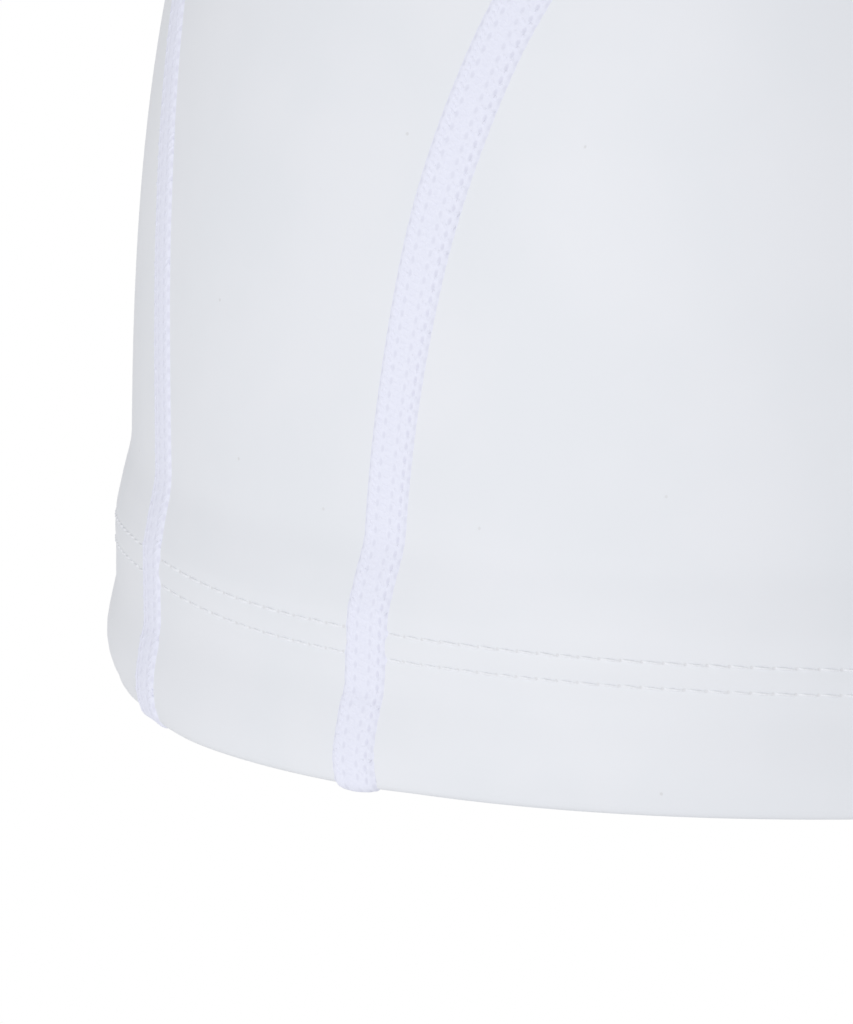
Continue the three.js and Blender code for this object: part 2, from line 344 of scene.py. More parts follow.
    def seam_half_width(self, station: np.ndarray) -> np.ndarray:
        """Distance from the middle of the cap to the seam line.

        Args:
            station: stations to read.

        Returns:
            The distance at each station.
        """
        samples = 901
        stations = np.linspace(0, LAST_STATION, samples)
        run = self.fold_radius + travelled(self.across(stations, np.zeros(samples)))
        share = np.interp(station, stations, run / (run[-1] + self.fold_radius))
        return self.panel_half_width * self.seam_course.read(1 - np.abs(1 - 2 * share))

    def seam(self, station: np.ndarray) -> tuple[np.ndarray, np.ndarray, np.ndarray]:
        """The left seam line.

        Args:
            station: stations to read.

        Returns:
            Its points, its direction of travel, and the direction away from the centre panel.
        """
        step = 1e-3
        station = np.asarray(station, float)
        points = self.across(station, self.seam_half_width(station))
        near = [np.clip(station + offset, 0, LAST_STATION) for offset in (-step, step)]
        before, after = (self.across(place, self.seam_half_width(place)) for place in near)
        travel = unit(after - before)
        sideways = unit(np.cross(travel, self.normal(points)))
        sideways *= np.where(sideways[..., :1] < 0, -1, 1)
        return points, travel, sideways

    def beside_seam(self, station: np.ndarray, distance: float) -> np.ndarray:
        """Points on the outside at a distance from the left seam line, away from the centre panel."""
        points, _, sideways = self.seam(station)
        points = points + sideways * distance
        return self.outside(self.angle_of(points), points[..., 2])


@dataclass(frozen=True)
class HemSewing:
    """The two rows of stitches that hold the turned-up hem."""

    upper_row: float = 16.0 * MM
    row_gap: float = 3.0 * MM
    front_rise: float = 2.6 * MM
    wander: float = 2.2 * MM
    wander_angle: float = math.radians(-22)
    wander_width: float = math.radians(18)
    stitch: float = 2.55 * MM
    thread: float = 0.17 * MM
    groove: float = 0.04 * MM
    groove_width: float = 0.6 * MM
    dimple: float = 0.06 * MM
    dimple_width: float = 0.45 * MM
    puff: float = 0.1 * MM
    puff_share: float = 0.42

    def lift(self, angle: np.ndarray) -> np.ndarray:
        """How much higher the rows run at an angle than over the ear and behind it.

        Args:
            angle: angles to read. The rows wander up a little on the right of the brow.

        Returns:
            The rise of the rows at each angle.
        """
        softness = 0.2
        facing = np.cos(angle)
        wander = self.wander * np.exp(-(((angle - self.wander_angle) / self.wander_width) ** 2))
        return self.front_rise * (facing + np.sqrt(facing**2 + softness**2)) / 2 + wander

    def carried(self, level: np.ndarray, hem_top: float) -> np.ndarray:
        """Share of the lift that a line of the mesh at a level follows, to keep to the rows."""
        start = 4 * MM
        rows = self.upper_row - self.row_gap / 2
        rising = smooth_step((level - start) / (rows - start))
        return rising * smooth_step((hem_top - level) / (hem_top - rows))

    def relief(self, phase: np.ndarray, above_row: np.ndarray) -> np.ndarray:
        """How far the stitches pull the cloth in and let it puff out.

        Args:
            phase: place along the rows in stitches, whole at the needle holes.
            above_row: height above the upper row.

        Returns:
            The outward move of each point.
        """
        near_hole = (0.5 + 0.5 * np.cos(TURN * phase)) ** 3
        off_middle = (above_row + self.row_gap / 2) / (self.puff_share * self.row_gap)
        between = self.puff * np.exp(-(off_middle**2))
        pulled = 0
        for row in (0, -self.row_gap):
            off = above_row - row
            pulled = pulled + self.groove * np.exp(-((off / self.groove_width) ** 2))
            pulled = pulled + self.dimple * near_hole * np.exp(-((off / self.dimple_width) ** 2))
        return between - pulled


@dataclass(frozen=True)
class MeshLevels:
    """Heights of the lines of the hem's mesh, from the fold to the top of the hem."""

    lower_step: float = 1.25 * MM
    sewn_step: float = 0.4 * MM
    upper_step: float = 1.25 * MM
    sewn_low: float = 11 * MM
    sewn_high: float = 18.2 * MM

    def heights(self, form: CapForm) -> np.ndarray:
        """The levels of the outer cloth.

        Args:
            form: the form of the cap.

        Returns:
            The heights, rising.
        """
        bounds = (form.fold_radius, self.sewn_low, self.sewn_high, form.hem_top)
        steps = (self.lower_step, self.sewn_step, self.upper_step)
        heights = [bounds[:1]]
        for low, high, step in zip(bounds, bounds[1:], steps):
            rows = max(2, round((high - low) / step) + 1)
            heights.append(np.linspace(low, high, rows)[1:])
        return np.concatenate(heights)


class Graph:
    """A node tree that is written as calls."""

    def __init__(self, tree: bpy.types.NodeTree) -> None:
        """Starts on an emptied tree."""
        self.tree = tree
        tree.nodes.clear()

    def add(
        self, kind: str, inputs: dict[Any, Any] | Sequence[Any] = (), **settings: Any
    ) -> bpy.types.Node:
        """Adds a node.

        Args:
            kind: the node's type name.
            inputs: values or other nodes' sockets by input name or number, or as a list in order.
            settings: the node's own settings.

        Returns:
            The node.
        """
        node = self.tree.nodes.new(kind)
        for name, value in settings.items():
            setattr(node, name, value)
        pairs = inputs.items() if isinstance(inputs, dict) else enumerate(inputs)
        for key, value in pairs:
            socket = node.inputs[key]
            if isinstance(value, bpy.types.NodeSocket):
                self.tree.links.new(value, socket)
            elif value is not None:
                socket.default_value = value
        return node

    def first(self, kind: str, inputs: Any = (), **settings: Any) -> bpy.types.NodeSocket:
        """First output of a new node."""
        return self.add(kind, inputs, **settings).outputs[0]

    def maths(self, operation: str, *values: Any) -> bpy.types.NodeSocket:
        """Result of a Math node on numbers or sockets."""
        return self.first("ShaderNodeMath", values, operation=operation)

    def squares(self, one: Any, other: Any) -> bpy.types.NodeSocket:
        """Sum of the squares of two values."""
        return self.maths("ADD", self.maths("MULTIPLY", one, one), self.maths("MULTIPLY", other, other))

    def scaled(self, one: Any, other: Any) -> bpy.types.NodeSocket:
        """Product of two vectors, axis by axis."""
        return self.first("ShaderNodeVectorMath", [one, other], operation="MULTIPLY")

    def noise(self, scale: float, detail: float, distortion: float = 0.0) -> bpy.types.NodeSocket:
        """Noise at the place on the object."""
        place = self.add("ShaderNodeTexCoord").outputs["Object"]
        inputs = {"Vector": place, "Scale": scale, "Detail": detail, "Distortion": distortion}
        return self.first("ShaderNodeTexNoise", inputs)

    def on_map(self, name: str) -> bpy.types.NodeSocket:
        """Place on a UV map."""
        return self.first("ShaderNodeUVMap", uv_map=name)

    def axes(self, name: str) -> list[bpy.types.NodeSocket]:
        """Both axes of the place on a UV map."""
        return list(self.add("ShaderNodeSeparateXYZ", [self.on_map(name)]).outputs)[:2]

    def bump(self, height: Any, strength: float, distance: float) -> bpy.types.NodeSocket:
        """Direction of a surface with a relief."""
        inputs = {"Strength": strength, "Distance": distance, "Height": height}
        return self.first("ShaderNodeBump", inputs)

    def surface(self, kind: str, inputs: dict[str, Any]) -> None:
        """Makes a shader the surface of the material."""
        self.add("ShaderNodeOutputMaterial", {"Surface": self.first(kind, inputs)})

    def fade(self, value: Any, full: float, none: float) -> bpy.types.NodeSocket:
        """Mask that is 1 where value is at full or past it, and fades to 0 at none."""
        inputs = {"Value": value, "From Min": none, "From Max": full}
        return self.first("ShaderNodeMapRange", inputs, interpolation_type="SMOOTHSTEP")

    def mix(self, share: Any, low: Any, high: Any) -> bpy.types.NodeSocket:
        """Colour blended from low to high by a share."""
        node = self.add("ShaderNodeMix", {0: share, 6: low, 7: high}, data_type="RGBA")
        return node.outputs[2]


def new_material(name: str) -> tuple[bpy.types.Material, Graph]:
    """A material and its empty tree."""
    material = bpy.data.materials.new(name)
    material.use_nodes = True
    return material, Graph(material.node_tree)


def colour(red: float, green: float, blue: float) -> tuple[float, float, float, float]:
    """A colour with full cover."""
    return red, green, blue, 1.0


@dataclass(frozen=True)
class CoatedCloth:
    """Outside of the panels: white knit with a satin coating, a few dark specks, and painted shade in the
    needle holes.
    """

    base: tuple[float, float, float, float] = colour(0.787, 0.803, 0.847)
    shade: tuple[float, float, float, float] = colour(0.767, 0.788, 0.832)
    speck: tuple[float, float, float, float] = colour(0.69, 0.70, 0.73)
    # painted shade: the colour that the needle holes are darkened to
    hole_shade: tuple[float, float, float, float] = colour(0.73, 0.735, 0.77)
    roughness: float = 0.46
    specular: float = 0.32
    speck_cell: float = 24 * MM
    speck_radius: float = 0.2 * MM
    hole_radius: float = 0.17 * MM
    cloud_scale: float = 45.0
    grain_scale: float = 2600.0
    grain_height: float = 0.010
    wave_scale: float = 90.0
    wave_height: float = 0.12
    hole_depth: float = 0.1

    def material(self, sewing: HemSewing) -> bpy.types.Material:
        """The finish as a material.

        Args:
            sewing: the hem's stitches, whose needle holes show in the cloth.

        Returns:
            The material.
        """
        material, graph = new_material("coated_cloth")
        clouds = graph.noise(self.cloud_scale, 3.0)
        tone = graph.mix(graph.fade(clouds, 0.68, 0.36), self.base, self.shade)
        tone = graph.mix(self._specks(graph), tone, self.speck)
        holes = self._holes(graph, sewing)
        # painted shade in the needle holes
        tone = graph.mix(holes, tone, self.hole_shade)
        grain = graph.maths("MULTIPLY", graph.noise(self.grain_scale, 2.0), self.grain_height)
        waves = graph.maths("MULTIPLY", graph.noise(self.wave_scale, 1.0), self.wave_height)
        height = graph.maths("ADD", grain, waves)
        height = graph.maths("SUBTRACT", height, graph.maths("MULTIPLY", holes, self.hole_depth))
        graph.surface("ShaderNodeBsdfPrincipled", {
            "Base Color": tone,
            "Roughness": self.roughness,
            "Specular IOR Level": self.specular,
            "Normal": graph.bump(height, 0.5, 1 * MM),
        })
        return material

    def _specks(self, graph: Graph) -> bpy.types.NodeSocket:
        """Mask of the few tiny dark fibres in the cloth."""
        inputs = {"Vector": graph.on_map("cloth_map"), "Scale": 1 / self.speck_cell, "Randomness": 1.0}
        cells = graph.add("ShaderNodeTexVoronoi", inputs, voronoi_dimensions="2D")
        radius = self.speck_radius / self.speck_cell
        spot = graph.fade(cells.outputs["Distance"], 0.5 * radius, 1.4 * radius)
        chosen = graph.first("ShaderNodeSeparateColor", [cells.outputs["Color"]])
        return graph.maths("MULTIPLY", spot, graph.fade(chosen, 0.62, 0.38))

    def _holes(self, graph: Graph, sewing: HemSewing) -> bpy.types.NodeSocket:
        """Mask of the needle holes of both rows."""
        stitches, above_row = graph.axes("stitch_map")
        along = graph.maths("MULTIPLY", graph.maths("PINGPONG", stitches, 0.5), sewing.stitch / MM)
        radius = self.hole_radius / MM
        found = 0.0
        for row in (0, -sewing.row_gap / MM):
            off = graph.maths("SUBTRACT", above_row, row)
            distance = graph.maths("SQRT", graph.squares(along, off))
            found = graph.maths("MAXIMUM", graph.fade(distance, 0.5 * radius, 1.5 * radius), found)
        return found


@dataclass(frozen=True)
class KnitInside:
    """Inside of the panels: the bare face of the fine knit, with painted shade in the dips between its loops.
    """

    base: tuple[float, float, float, float] = colour(0.74, 0.75, 0.78)
    # painted shade: the colour of the knit's dips, where shade falls between the loops
    groove: tuple[float, float, float, float] = colour(0.6, 0.61, 0.65)
    roughness: float = 0.85
    wale: float = 0.75 * MM
    loop: float = 0.6 * MM
    slant: float = 0.9
    loop_share: float = 0.3

    def material(self) -> bpy.types.Material:
        """The finish as a material."""
        material, graph = new_material("knit_inside")
        across, along = graph.axes("cloth_map")
        across = graph.maths("MULTIPLY", across, math.pi / self.wale)
        rib = graph.maths("ABSOLUTE", graph.maths("SINE", across))
        slant = graph.maths("COSINE", graph.maths("MULTIPLY", across, 2.0))
        slant = graph.maths("MULTIPLY", slant, self.slant)
        along = graph.maths("ADD", graph.maths("MULTIPLY", along, TURN / self.loop), slant)
        loops = graph.maths("MULTIPLY_ADD", graph.maths("SINE", along), self.loop_share, 1 - self.loop_share)
        height = graph.maths("MULTIPLY", rib, loops)
        graph.surface("ShaderNodeBsdfPrincipled", {
            # painted shade: the knit is darker where its relief is low
            "Base Color": graph.mix(height, self.groove, self.base),
            "Roughness": self.roughness,
            "Specular IOR Level": 0.2,
            "Normal": graph.bump(height, 0.6, 0.15 * MM),
        })
        return material


@dataclass(frozen=True)
class SewingThread:
    """Soft textured thread, a little bluer than the cloth."""

    name: str
    base: tuple[float, float, float, float] = colour(0.8, 0.815, 0.925)
    shade: tuple[float, float, float, float] = colour(0.78, 0.795, 0.908)
    roughness: float = 0.8
    fibre: float = 0.12 * MM
    fibres_in_patch: int = 3

    def tone(self, graph: Graph, tone: bpy.types.NodeSocket) -> bpy.types.NodeSocket:
        """The thread's colour with whatever marks it; plain thread has none."""
        return tone

    def material(self) -> bpy.types.Material:
        """The finish as a material."""
        material, graph = new_material(self.name)
        fibres = graph.noise(1 / self.fibre / self.fibres_in_patch, 3.0, 0.6)
        graph.surface("ShaderNodeBsdfPrincipled", {
            # partly fibre tone and partly painted shade: the darker colour falls where the fibre relief dips
            "Base Color": self.tone(graph, graph.mix(graph.fade(fibres, 0.4, 0.62), self.base, self.shade)),
            "Roughness": self.roughness,
            "Specular IOR Level": 0.25,
            "Sheen Weight": 0.05,
            "Sheen Roughness": 0.5,
            "Normal": graph.bump(fibres, 0.4, 0.08 * MM),
        })
        return material


@dataclass(frozen=True)
class Dimples:
    """A column of dimples along the cover band.

    Attributes:
        share: where it lies across the band, from 0 at the centre panel to 1 at the side panel.
        phase: how far its dimples are shifted along the band, in stitches.
        depth: depth of the dimples, in millimetres.
        groove: depth of the groove between them, in millimetres.
        shadow: how dark the gaps between the threads look in them.
    """

    share: float
    phase: float
    depth: float
    groove: float
    shadow: float


COLUMNS = (
    Dimples(share=0.07, phase=0.75, depth=0.08, groove=0.0, shadow=0.8),
    Dimples(share=0.31, phase=0.25, depth=0.12, groove=0.02, shadow=0.8),
    Dimples(share=0.62, phase=0.1, depth=0.1, groove=0.01, shadow=0.7),
    Dimples(share=0.82, phase=0.85, depth=0.14, groove=0.07, shadow=1.0),
    Dimples(share=0.95, phase=0.4, depth=0.06, groove=0.0, shadow=0.6),
)


@dataclass(frozen=True)
class CoverBand(SewingThread):
    """Cover threads packed side by side, with painted shade in the small gaps at the needle holes."""

    # painted shade: the colour of the gaps between the threads at the needle holes
    gap_shade: tuple[float, float, float, float] = colour(0.715, 0.725, 0.84)
    gap_across: float = 0.048
    gap_along: float = 0.36
    stitches_under_fold: int = 64

    def tone(self, graph: Graph, tone: bpy.types.NodeSocket) -> bpy.types.NodeSocket:
        """The threads' colour with painted shade in the gaps at the needle holes."""
        share, stitches = graph.axes("seam_map")
        gaps = 0.0
        for column in COLUMNS:
            off = graph.maths("DIVIDE", graph.maths("SUBTRACT", share, column.share), self.gap_across)
            along = graph.maths("SUBTRACT", stitches, column.phase - self.stitches_under_fold)
            along = graph.maths("DIVIDE", graph.maths("PINGPONG", along, 0.5), self.gap_along)
            dark = graph.fade(graph.squares(off, along), 0.0, 1.0)
            gaps = graph.maths("MAXIMUM", graph.maths("MULTIPLY", dark, column.shadow), gaps)
        # painted shade in the gaps, strongest in the columns with the most shadow
        return graph.mix(gaps, tone, self.gap_shade)


@dataclass(frozen=True)
class Finishes:
    """The finishes of the cap as materials."""

    cloth: bpy.types.Material
    knit: bpy.types.Material
    cover: bpy.types.Material
    band: bpy.types.Material
    needle: bpy.types.Material

    @classmethod
    def made_for(cls, sewing: HemSewing) -> "Finishes":
        """All finishes, the cloth with the holes of the hem's stitches."""
        base, shade = colour(0.84, 0.855, 0.895), colour(0.8, 0.815, 0.855)
        return cls(
            cloth=CoatedCloth().material(sewing),
            knit=KnitInside().material(),
            cover=SewingThread("cover_thread").material(),
            band=CoverBand("cover_band").material(),
            needle=SewingThread("hem_thread", base=base, shade=shade).material(),
        )


def is_inside_out(points: np.ndarray, quads: np.ndarray) -> bool:
    """Whether the faces of a closed mesh point inwards.

    Args:
        points: the corners.
        quads: four corner numbers for each face.

    Returns:
        True if the faces point inwards.
    """
    volume = 0.0
    for first, second, third in ((0, 1, 2), (0, 2, 3)):
        a, b, c = points[quads[:, first]], points[quads[:, second]], points[quads[:, third]]
        volume += float(np.einsum("ij,ij->i", a, np.cross(b, c)).sum())
    return volume < 0


@dataclass
class Surface:
    """A closed mesh in the making.

    Attributes:
        points: its corners.
        quads: four corner numbers for each face.
        finish: number of the finish of each face.
        maps: for each UV map, a pair of numbers for each corner.
    """

    points: np.ndarray
    quads: np.ndarray
    finish: np.ndarray
    maps: dict[str, np.ndarray] = field(default_factory=dict)

    def mesh_object(self, name: str, materials: Iterable[bpy.types.Material]) -> bpy.types.Object:
        """Makes the Blender object.

        Args:
            name: the piece's name.
            materials: its finishes in order.

        Returns:
            The object, linked to the scene.
        """
        sharp_from = math.radians(48)
        quads = self.quads[:, ::-1] if is_inside_out(self.points, self.quads) else self.quads
        mesh = bpy.data.meshes.new(name)
        mesh.vertices.add(len(self.points))
        mesh.vertices.foreach_set("co", self.points.ravel())
        mesh.loops.add(quads.size)
        mesh.loops.foreach_set("vertex_index", quads.ravel())
        mesh.polygons.add(len(quads))
        mesh.polygons.foreach_set("loop_start", np.arange(0, quads.size, 4))
        mesh.polygons.foreach_set("material_index", self.finish)
        mesh.polygons.foreach_set("use_smooth", np.ones(len(quads), bool))
        for map_name, places in self.maps.items():
            layer = mesh.uv_layers.new(name=map_name)
            layer.data.foreach_set("uv", places[quads.ravel()].ravel())
        mesh.update(calc_edges=True)
        mesh.set_sharp_from_angle(angle=sharp_from)
        mesh.validate()
        for material in materials:
            mesh.materials.append(material)
        return in_scene(name, mesh)


def grid_quads(numbers: np.ndarray) -> np.ndarray:
    """Quads of a grid of corner numbers."""
    around = [numbers[:-1, :-1], numbers[:-1, 1:], numbers[1:, 1:], numbers[1:, :-1]]
    return np.stack(around, axis=-1).reshape(-1, 4)


def cloth_surface(outer: np.ndarray, inner: np.ndarray, maps: dict[str, np.ndarray]) -> Surface:
    """Closed piece of cloth between two grids of points, with a rim round its edge.

    Args:
        outer: the coated face, rows by columns by 3.
        inner: the bare face, in the same layout.
        maps: for each UV map, rows by columns by 2, read by both faces.

    Returns:
        The closed mesh, with finish 0 on the coated face and 1 elsewhere.
    """
    rows, columns = outer.shape[:2]
    numbers = np.arange(rows * columns).reshape(rows, columns)
    under = numbers + rows * columns
    front = grid_quads(numbers)
    back = grid_quads(under)[:, ::-1]
    edge = np.concatenate([numbers[0], numbers[1:, -1], numbers[-1, -2::-1], numbers[-2:0:-1, 0]])
    following = np.roll(edge, -1)
    rim = np.stack([following, edge, edge + rows * columns, following + rows * columns], axis=-1)
    quads = np.concatenate([front, back, rim])
    finish = np.concatenate([np.zeros(len(front)), np.ones(len(back) + len(rim))]).astype(np.int32)
    points = np.concatenate([outer.reshape(-1, 3), inner.reshape(-1, 3)])
    doubled = {name: np.tile(places.reshape(-1, 2), (2, 1)) for name, places in maps.items()}
    return Surface(points, quads, finish, doubled)


def turn_over(piece: bpy.types.Object) -> None:
    """Turns a piece into its mirror image on the cap's other side, its faces still pointing outwards."""
    mesh = piece.data
    points = np.zeros(len(mesh.vertices) * 3, np.float32)
    mesh.vertices.foreach_get("co", points)
    points[::3] *= -1
    mesh.vertices.foreach_set("co", points)
    mesh.flip_normals()
    mesh.update()


def mirrored(piece: bpy.types.Object) -> bpy.types.Object:
    """The right-hand twin of a left-hand piece."""
    name = piece.name.replace(Side.LEFT.value, Side.RIGHT.value)
    mesh = piece.data.copy()
    mesh.name = name
    made = in_scene(name, mesh)
    turn_over(made)
    return made


@dataclass(frozen=True)
class HemSection:
    """The turned-up cloth inside the hem, from its raw edge down and round the fold."""

    form: CapForm
    fold_steps: int = 8
    turned_steps: int = 12

    def steps(self) -> list[tuple[float, tuple[float, float], tuple[float, float]]]:
        """Steps of the section.

        Returns:
            For each step the level on the outside that it hangs from, then for the coated face and for the
            bare face an inset from the outside and a height.
        """
        form = self.form
        found = []
        for level in np.linspace(form.hem_depth, form.fold_radius, self.turned_steps):
            found.append((level, (form.hem_thickness, level), (form.cloth + form.hem_slit, level)))
        for i in range(1, self.fold_steps):
            turn = math.pi * (1 - i / self.fold_steps)
            faces = [
                (form.fold_radius - radius * math.cos(turn), form.fold_radius - radius * math.sin(turn))
                for radius in (form.fold_radius, form.hem_slit / 2)
            ]
            found.append((form.fold_radius, faces[0], faces[1]))
        return found


@dataclass(frozen=True)
class Panel:
    """What the panels share: the form, the sewing, and the making of a piece of cloth from its places.

    Attributes:
        form: the form of the cap.
        sewing: the hem's stitches.
        levels: the lines of the hem's surface.
        edge_margin: from the seam line to the panel's edge.
    """

    form: CapForm
    sewing: HemSewing
    levels: MeshLevels = MeshLevels()
    edge_margin: float = 0.6 * MM

    def lift(self, angle: np.ndarray) -> np.ndarray:
        """Rise of the rows of stitches at an angle."""
        return self.sewing.lift(angle)

    def raised(self, angle: np.ndarray, level: np.ndarray) -> np.ndarray:
        """Height of a line of the hem at an angle, following the rows of stitches."""
        return level + self.lift(angle) * self.sewing.carried(level, self.form.hem_top)

    def faces(self, places: np.ndarray, phase: np.ndarray) -> tuple[np.ndarray, np.ndarray, np.ndarray]:
        """Both faces of the cloth at places on the outside of the cap.

        Args:
            places: points on the outside.
            phase: place of each along the rows of stitches, in stitches.

        Returns:
            The coated face, the bare face and the stitch map.
        """
        above_row = places[..., 2] - self.sewing.upper_row - self.lift(self.form.angle_of(places))
        relief = self.sewing.relief(phase, above_row)[..., None]
        outward = self.form.outward(places)
        outer = places + outward * relief
        inner = places - outward * self.form.cloth
        phase = np.broadcast_to(phase, above_row.shape)
        return outer, inner, np.stack([phase, above_row / MM], axis=-1)

    def turned_faces(self, places: np.ndarray, step: tuple) -> tuple[np.ndarray, np.ndarray]:
        """Both faces of the turned-up cloth at one step of the hem's section.

        Args:
            places: points on the outside at the step's level.
            step: one of HemSection.steps().

        Returns:
            The coated face and the bare face.
        """
        outward = self.form.outward(places)
        angle = self.form.angle_of(places)
        made = []
        for inset, height in step[1:]:
            face = places - outward * inset
            face[..., 2] = self.raised(angle, np.array(height))
            made.append(face)
        return made[0], made[1]

    def turned_up(self, places_at: Callable[[np.ndarray], np.ndarray]) -> list[np.ndarray]:
        """The turned-up cloth, from its raw edge down and round the fold.

        Args:
            places_at: gives the panel's places on the outside at levels.

        Returns:
            The coated face, the bare face and a stitch map without stitches.
        """
        steps = HemSection(self.form).steps()
        turned = [self.turned_faces(places_at(np.array([step[0]])), step) for step in steps]
        outer, inner = (np.concatenate([faces[key] for faces in turned]) for key in (0, 1))
        return [outer, inner, np.full(outer.shape[:2] + (2,), NO_STITCH)]


@dataclass(frozen=True)
class CentrePanel(Panel):
    """The panel from the front hem over the crown to the back hem."""

    name: str = "centre_panel_cloth"
    stitches: int = 16
    columns_per_stitch: int = 4
    wall_step: float = 1.9 * MM
    crown_rows: int = 120

    def build(self, finishes: Finishes) -> bpy.types.Object:
        """The panel as a closed piece of cloth.

        Args:
            finishes: the cap's finishes.

        Returns:
            The piece.
        """
        form = self.form
        hem = self.levels.heights(form)
        wall_rows = round((form.shoulder - form.hem_top) / self.wall_step) + 1
        wall = np.linspace(form.hem_top, form.shoulder, wall_rows)
        front_heights = np.concatenate([hem, wall[1:]])
        shares = np.linspace(-1, 1, self.stitches * self.columns_per_stitch + 1)
        phase = (shares + 1) / 2 * self.stitches
        front = self._wall_places(front_heights, shares, End.FRONT)
        back = self._wall_places(front_heights[::-1], shares, End.BACK)
        crown_stations = 1 + np.linspace(0, 1, self.crown_rows + 1)[1:-1]
        crown = self._row_places(crown_stations, shares)
        cloth = self.faces(np.concatenate([front, crown, back]), phase)
        front_turned, back_turned = (
            self.turned_up(partial(self._wall_places, shares=shares, end=end)) for end in End
        )
        outer, inner, stitch_map = (
            np.concatenate([first, part, last[::-1]])
            for first, part, last in zip(front_turned, cloth, back_turned)
        )
        surface = cloth_surface(form.lowered(outer), form.lowered(inner), {
            "cloth_map": self._cloth_map(outer),
            "stitch_map": stitch_map,
        })
        return surface.mesh_object(self.name, [finishes.cloth, finishes.knit])

    def _row_places(self, stations: np.ndarray, shares: np.ndarray) -> np.ndarray:
        """Places across the panel at stations, from edge to edge.

        Args:
            stations: the rows' stations.
            shares: the columns, as shares of the half width from -1 to 1.

        Returns:
            The places, rows by columns by 3.
        """
        edge = self.form.beside_seam(stations, -self.edge_margin)
        places = self.form.across(stations[:, None], edge[:, :1] * shares[None, :])
        places[:, -1] = edge
        places[:, 0] = edge * RIGHT_FOR_LEFT
        return places

    def _wall_places(self, heights: np.ndarray, shares: np.ndarray, end: End) -> np.ndarray:
        """Places on the front or back wall, where the lines follow the rows of stitches."""
        flat = self._row_places(self.form.station_of(heights, end), shares)
        raised = self.raised(self.form.angle_of(flat), heights[:, None])
        turned_up = raised < self.form.hem_top
        stations = self.form.station_of(np.where(turned_up, raised, heights[:, None]), end)
        return self.form.across(stations, flat[..., 0])

    def _cloth_map(self, places: np.ndarray) -> np.ndarray:
        """Place of each point on the flat cloth, in metres."""
        along = travelled(places)
        middle = along[:, places.shape[1] // 2]
        return np.stack([places[..., 0], np.broadcast_to(middle[:, None], along.shape)], axis=-1)


@dataclass(frozen=True)
class SidePanel(Panel):
    """A panel over an ear. Both are laid out on the left, and the right one is then turned over.

    Attributes:
        side: the side of the wearer.
        left_tuck: how far the left hem's edge turns in under the rest, clear of the seams.
        right_tuck: the same on the right.
        tuck_height: height where that begins.
        tuck_run: share of the hem that the tuck takes to grow beside a seam.
    """

    side: Side = Side.LEFT
    stitches: int = 94
    columns_per_stitch: int = 4
    wall_rows: int = 46
    left_tuck: float = 0.7 * MM
    right_tuck: float = 1.8 * MM
    tuck_height: float = 6 * MM
    tuck_run: float = 0.035

    def lift(self, angle: np.ndarray) -> np.ndarray:
        """Rise of the rows of stitches at an angle, on the panel's own side."""
        return self.sewing.lift(angle if self.side is Side.LEFT else -angle)

    @property
    def columns(self) -> np.ndarray:
        """Columns of the mesh, from 0 at the front edge to 1 at the back edge."""
        return np.linspace(0, 1, self.stitches * self.columns_per_stitch + 1)

    def _border(self, station: np.ndarray) -> tuple[np.ndarray, np.ndarray]:
        """Angle and height of the panel's edge beside the seam."""
        places = self.form.beside_seam(station, self.edge_margin)
        return self.form.angle_of(places), places[..., 2]

    def _hem_places(self, levels: np.ndarray) -> np.ndarray:
        """Places of the panel's hem.

        Args:
            levels: the lines of the hem.

        Returns:
            The places, rows by columns by 3.
        """
        front, _ = self._border(self.form.station_of(levels, End.FRONT))
        back, _ = self._border(self.form.station_of(levels, End.BACK))
        angle = blend(front[:, None], back[:, None], self.columns[None, :])
        places = self.form.outside(angle, self.raised(angle, levels[:, None]))
        grown = smooth_step(np.minimum(self.columns, 1 - self.columns) / self.tuck_run)
        tuck = self.left_tuck if self.side is Side.LEFT else self.right_tuck
        inset = tuck * np.clip(1 - levels / self.tuck_height, 0, 1)[:, None] ** TUCK_EASE * grown
        return places - self.form.outward(places) * inset[..., None]

    def _wall_places(self) -> np.ndarray:
        """Places above the hem, blended from the four sides of that field.

        Returns:
            The places, rows by columns by 3, from just above the hem to the border over the crown.
        """
        form, u = self.form, self.columns[None, :]
        v = np.linspace(0, 1, self.wall_rows + 1)[1:, None]
        heights = blend(form.hem_top, form.shoulder, v[:, 0])
        front = self._border(form.station_of(heights, End.FRONT))
        back = self._border(form.station_of(heights, End.BACK))
        top = self._border(1 + self.columns)
        ends = [form.station_of(np.array(form.hem_top), end) for end in End]
        low = [self._border(station) for station in ends]
        blended = []
        for key in (0, 1):
            bottom = blend(low[0][key], low[1][key], u)
            high = blend(top[key][0], top[key][-1], u)
            sides = blend(front[key][:, None], back[key][:, None], u)
            blended.append(blend(bottom, top[key][None, :], v) + sides - blend(bottom, high, v))
        return form.outside(blended[0], blended[1])

    def build(self, finishes: Finishes) -> bpy.types.Object:
        """The panel as a closed piece of cloth.

        Args:
            finishes: the cap's finishes.

        Returns:
            The piece.
        """
        form = self.form
        phase = self.columns * self.stitches
        places = np.concatenate([self._hem_places(self.levels.heights(form)), self._wall_places()])
        turned, cloth = self.turned_up(self._hem_places), self.faces(places, phase)
        outer, inner, stitch_map = (np.concatenate(parts) for parts in zip(turned, cloth))
        along = travelled(outer)
        round_the_hem = np.broadcast_to(phase * self.sewing.stitch, along.shape)
        surface = cloth_surface(form.lowered(outer), form.lowered(inner), {
            "cloth_map": np.stack([round_the_hem, along], axis=-1),
            "stitch_map": stitch_map,
        })
        made = surface.mesh_object(f"side_panel_{self.side.value}_cloth", [finishes.cloth, finishes.knit])
        if self.side is Side.RIGHT:
            turn_over(made)
        return made


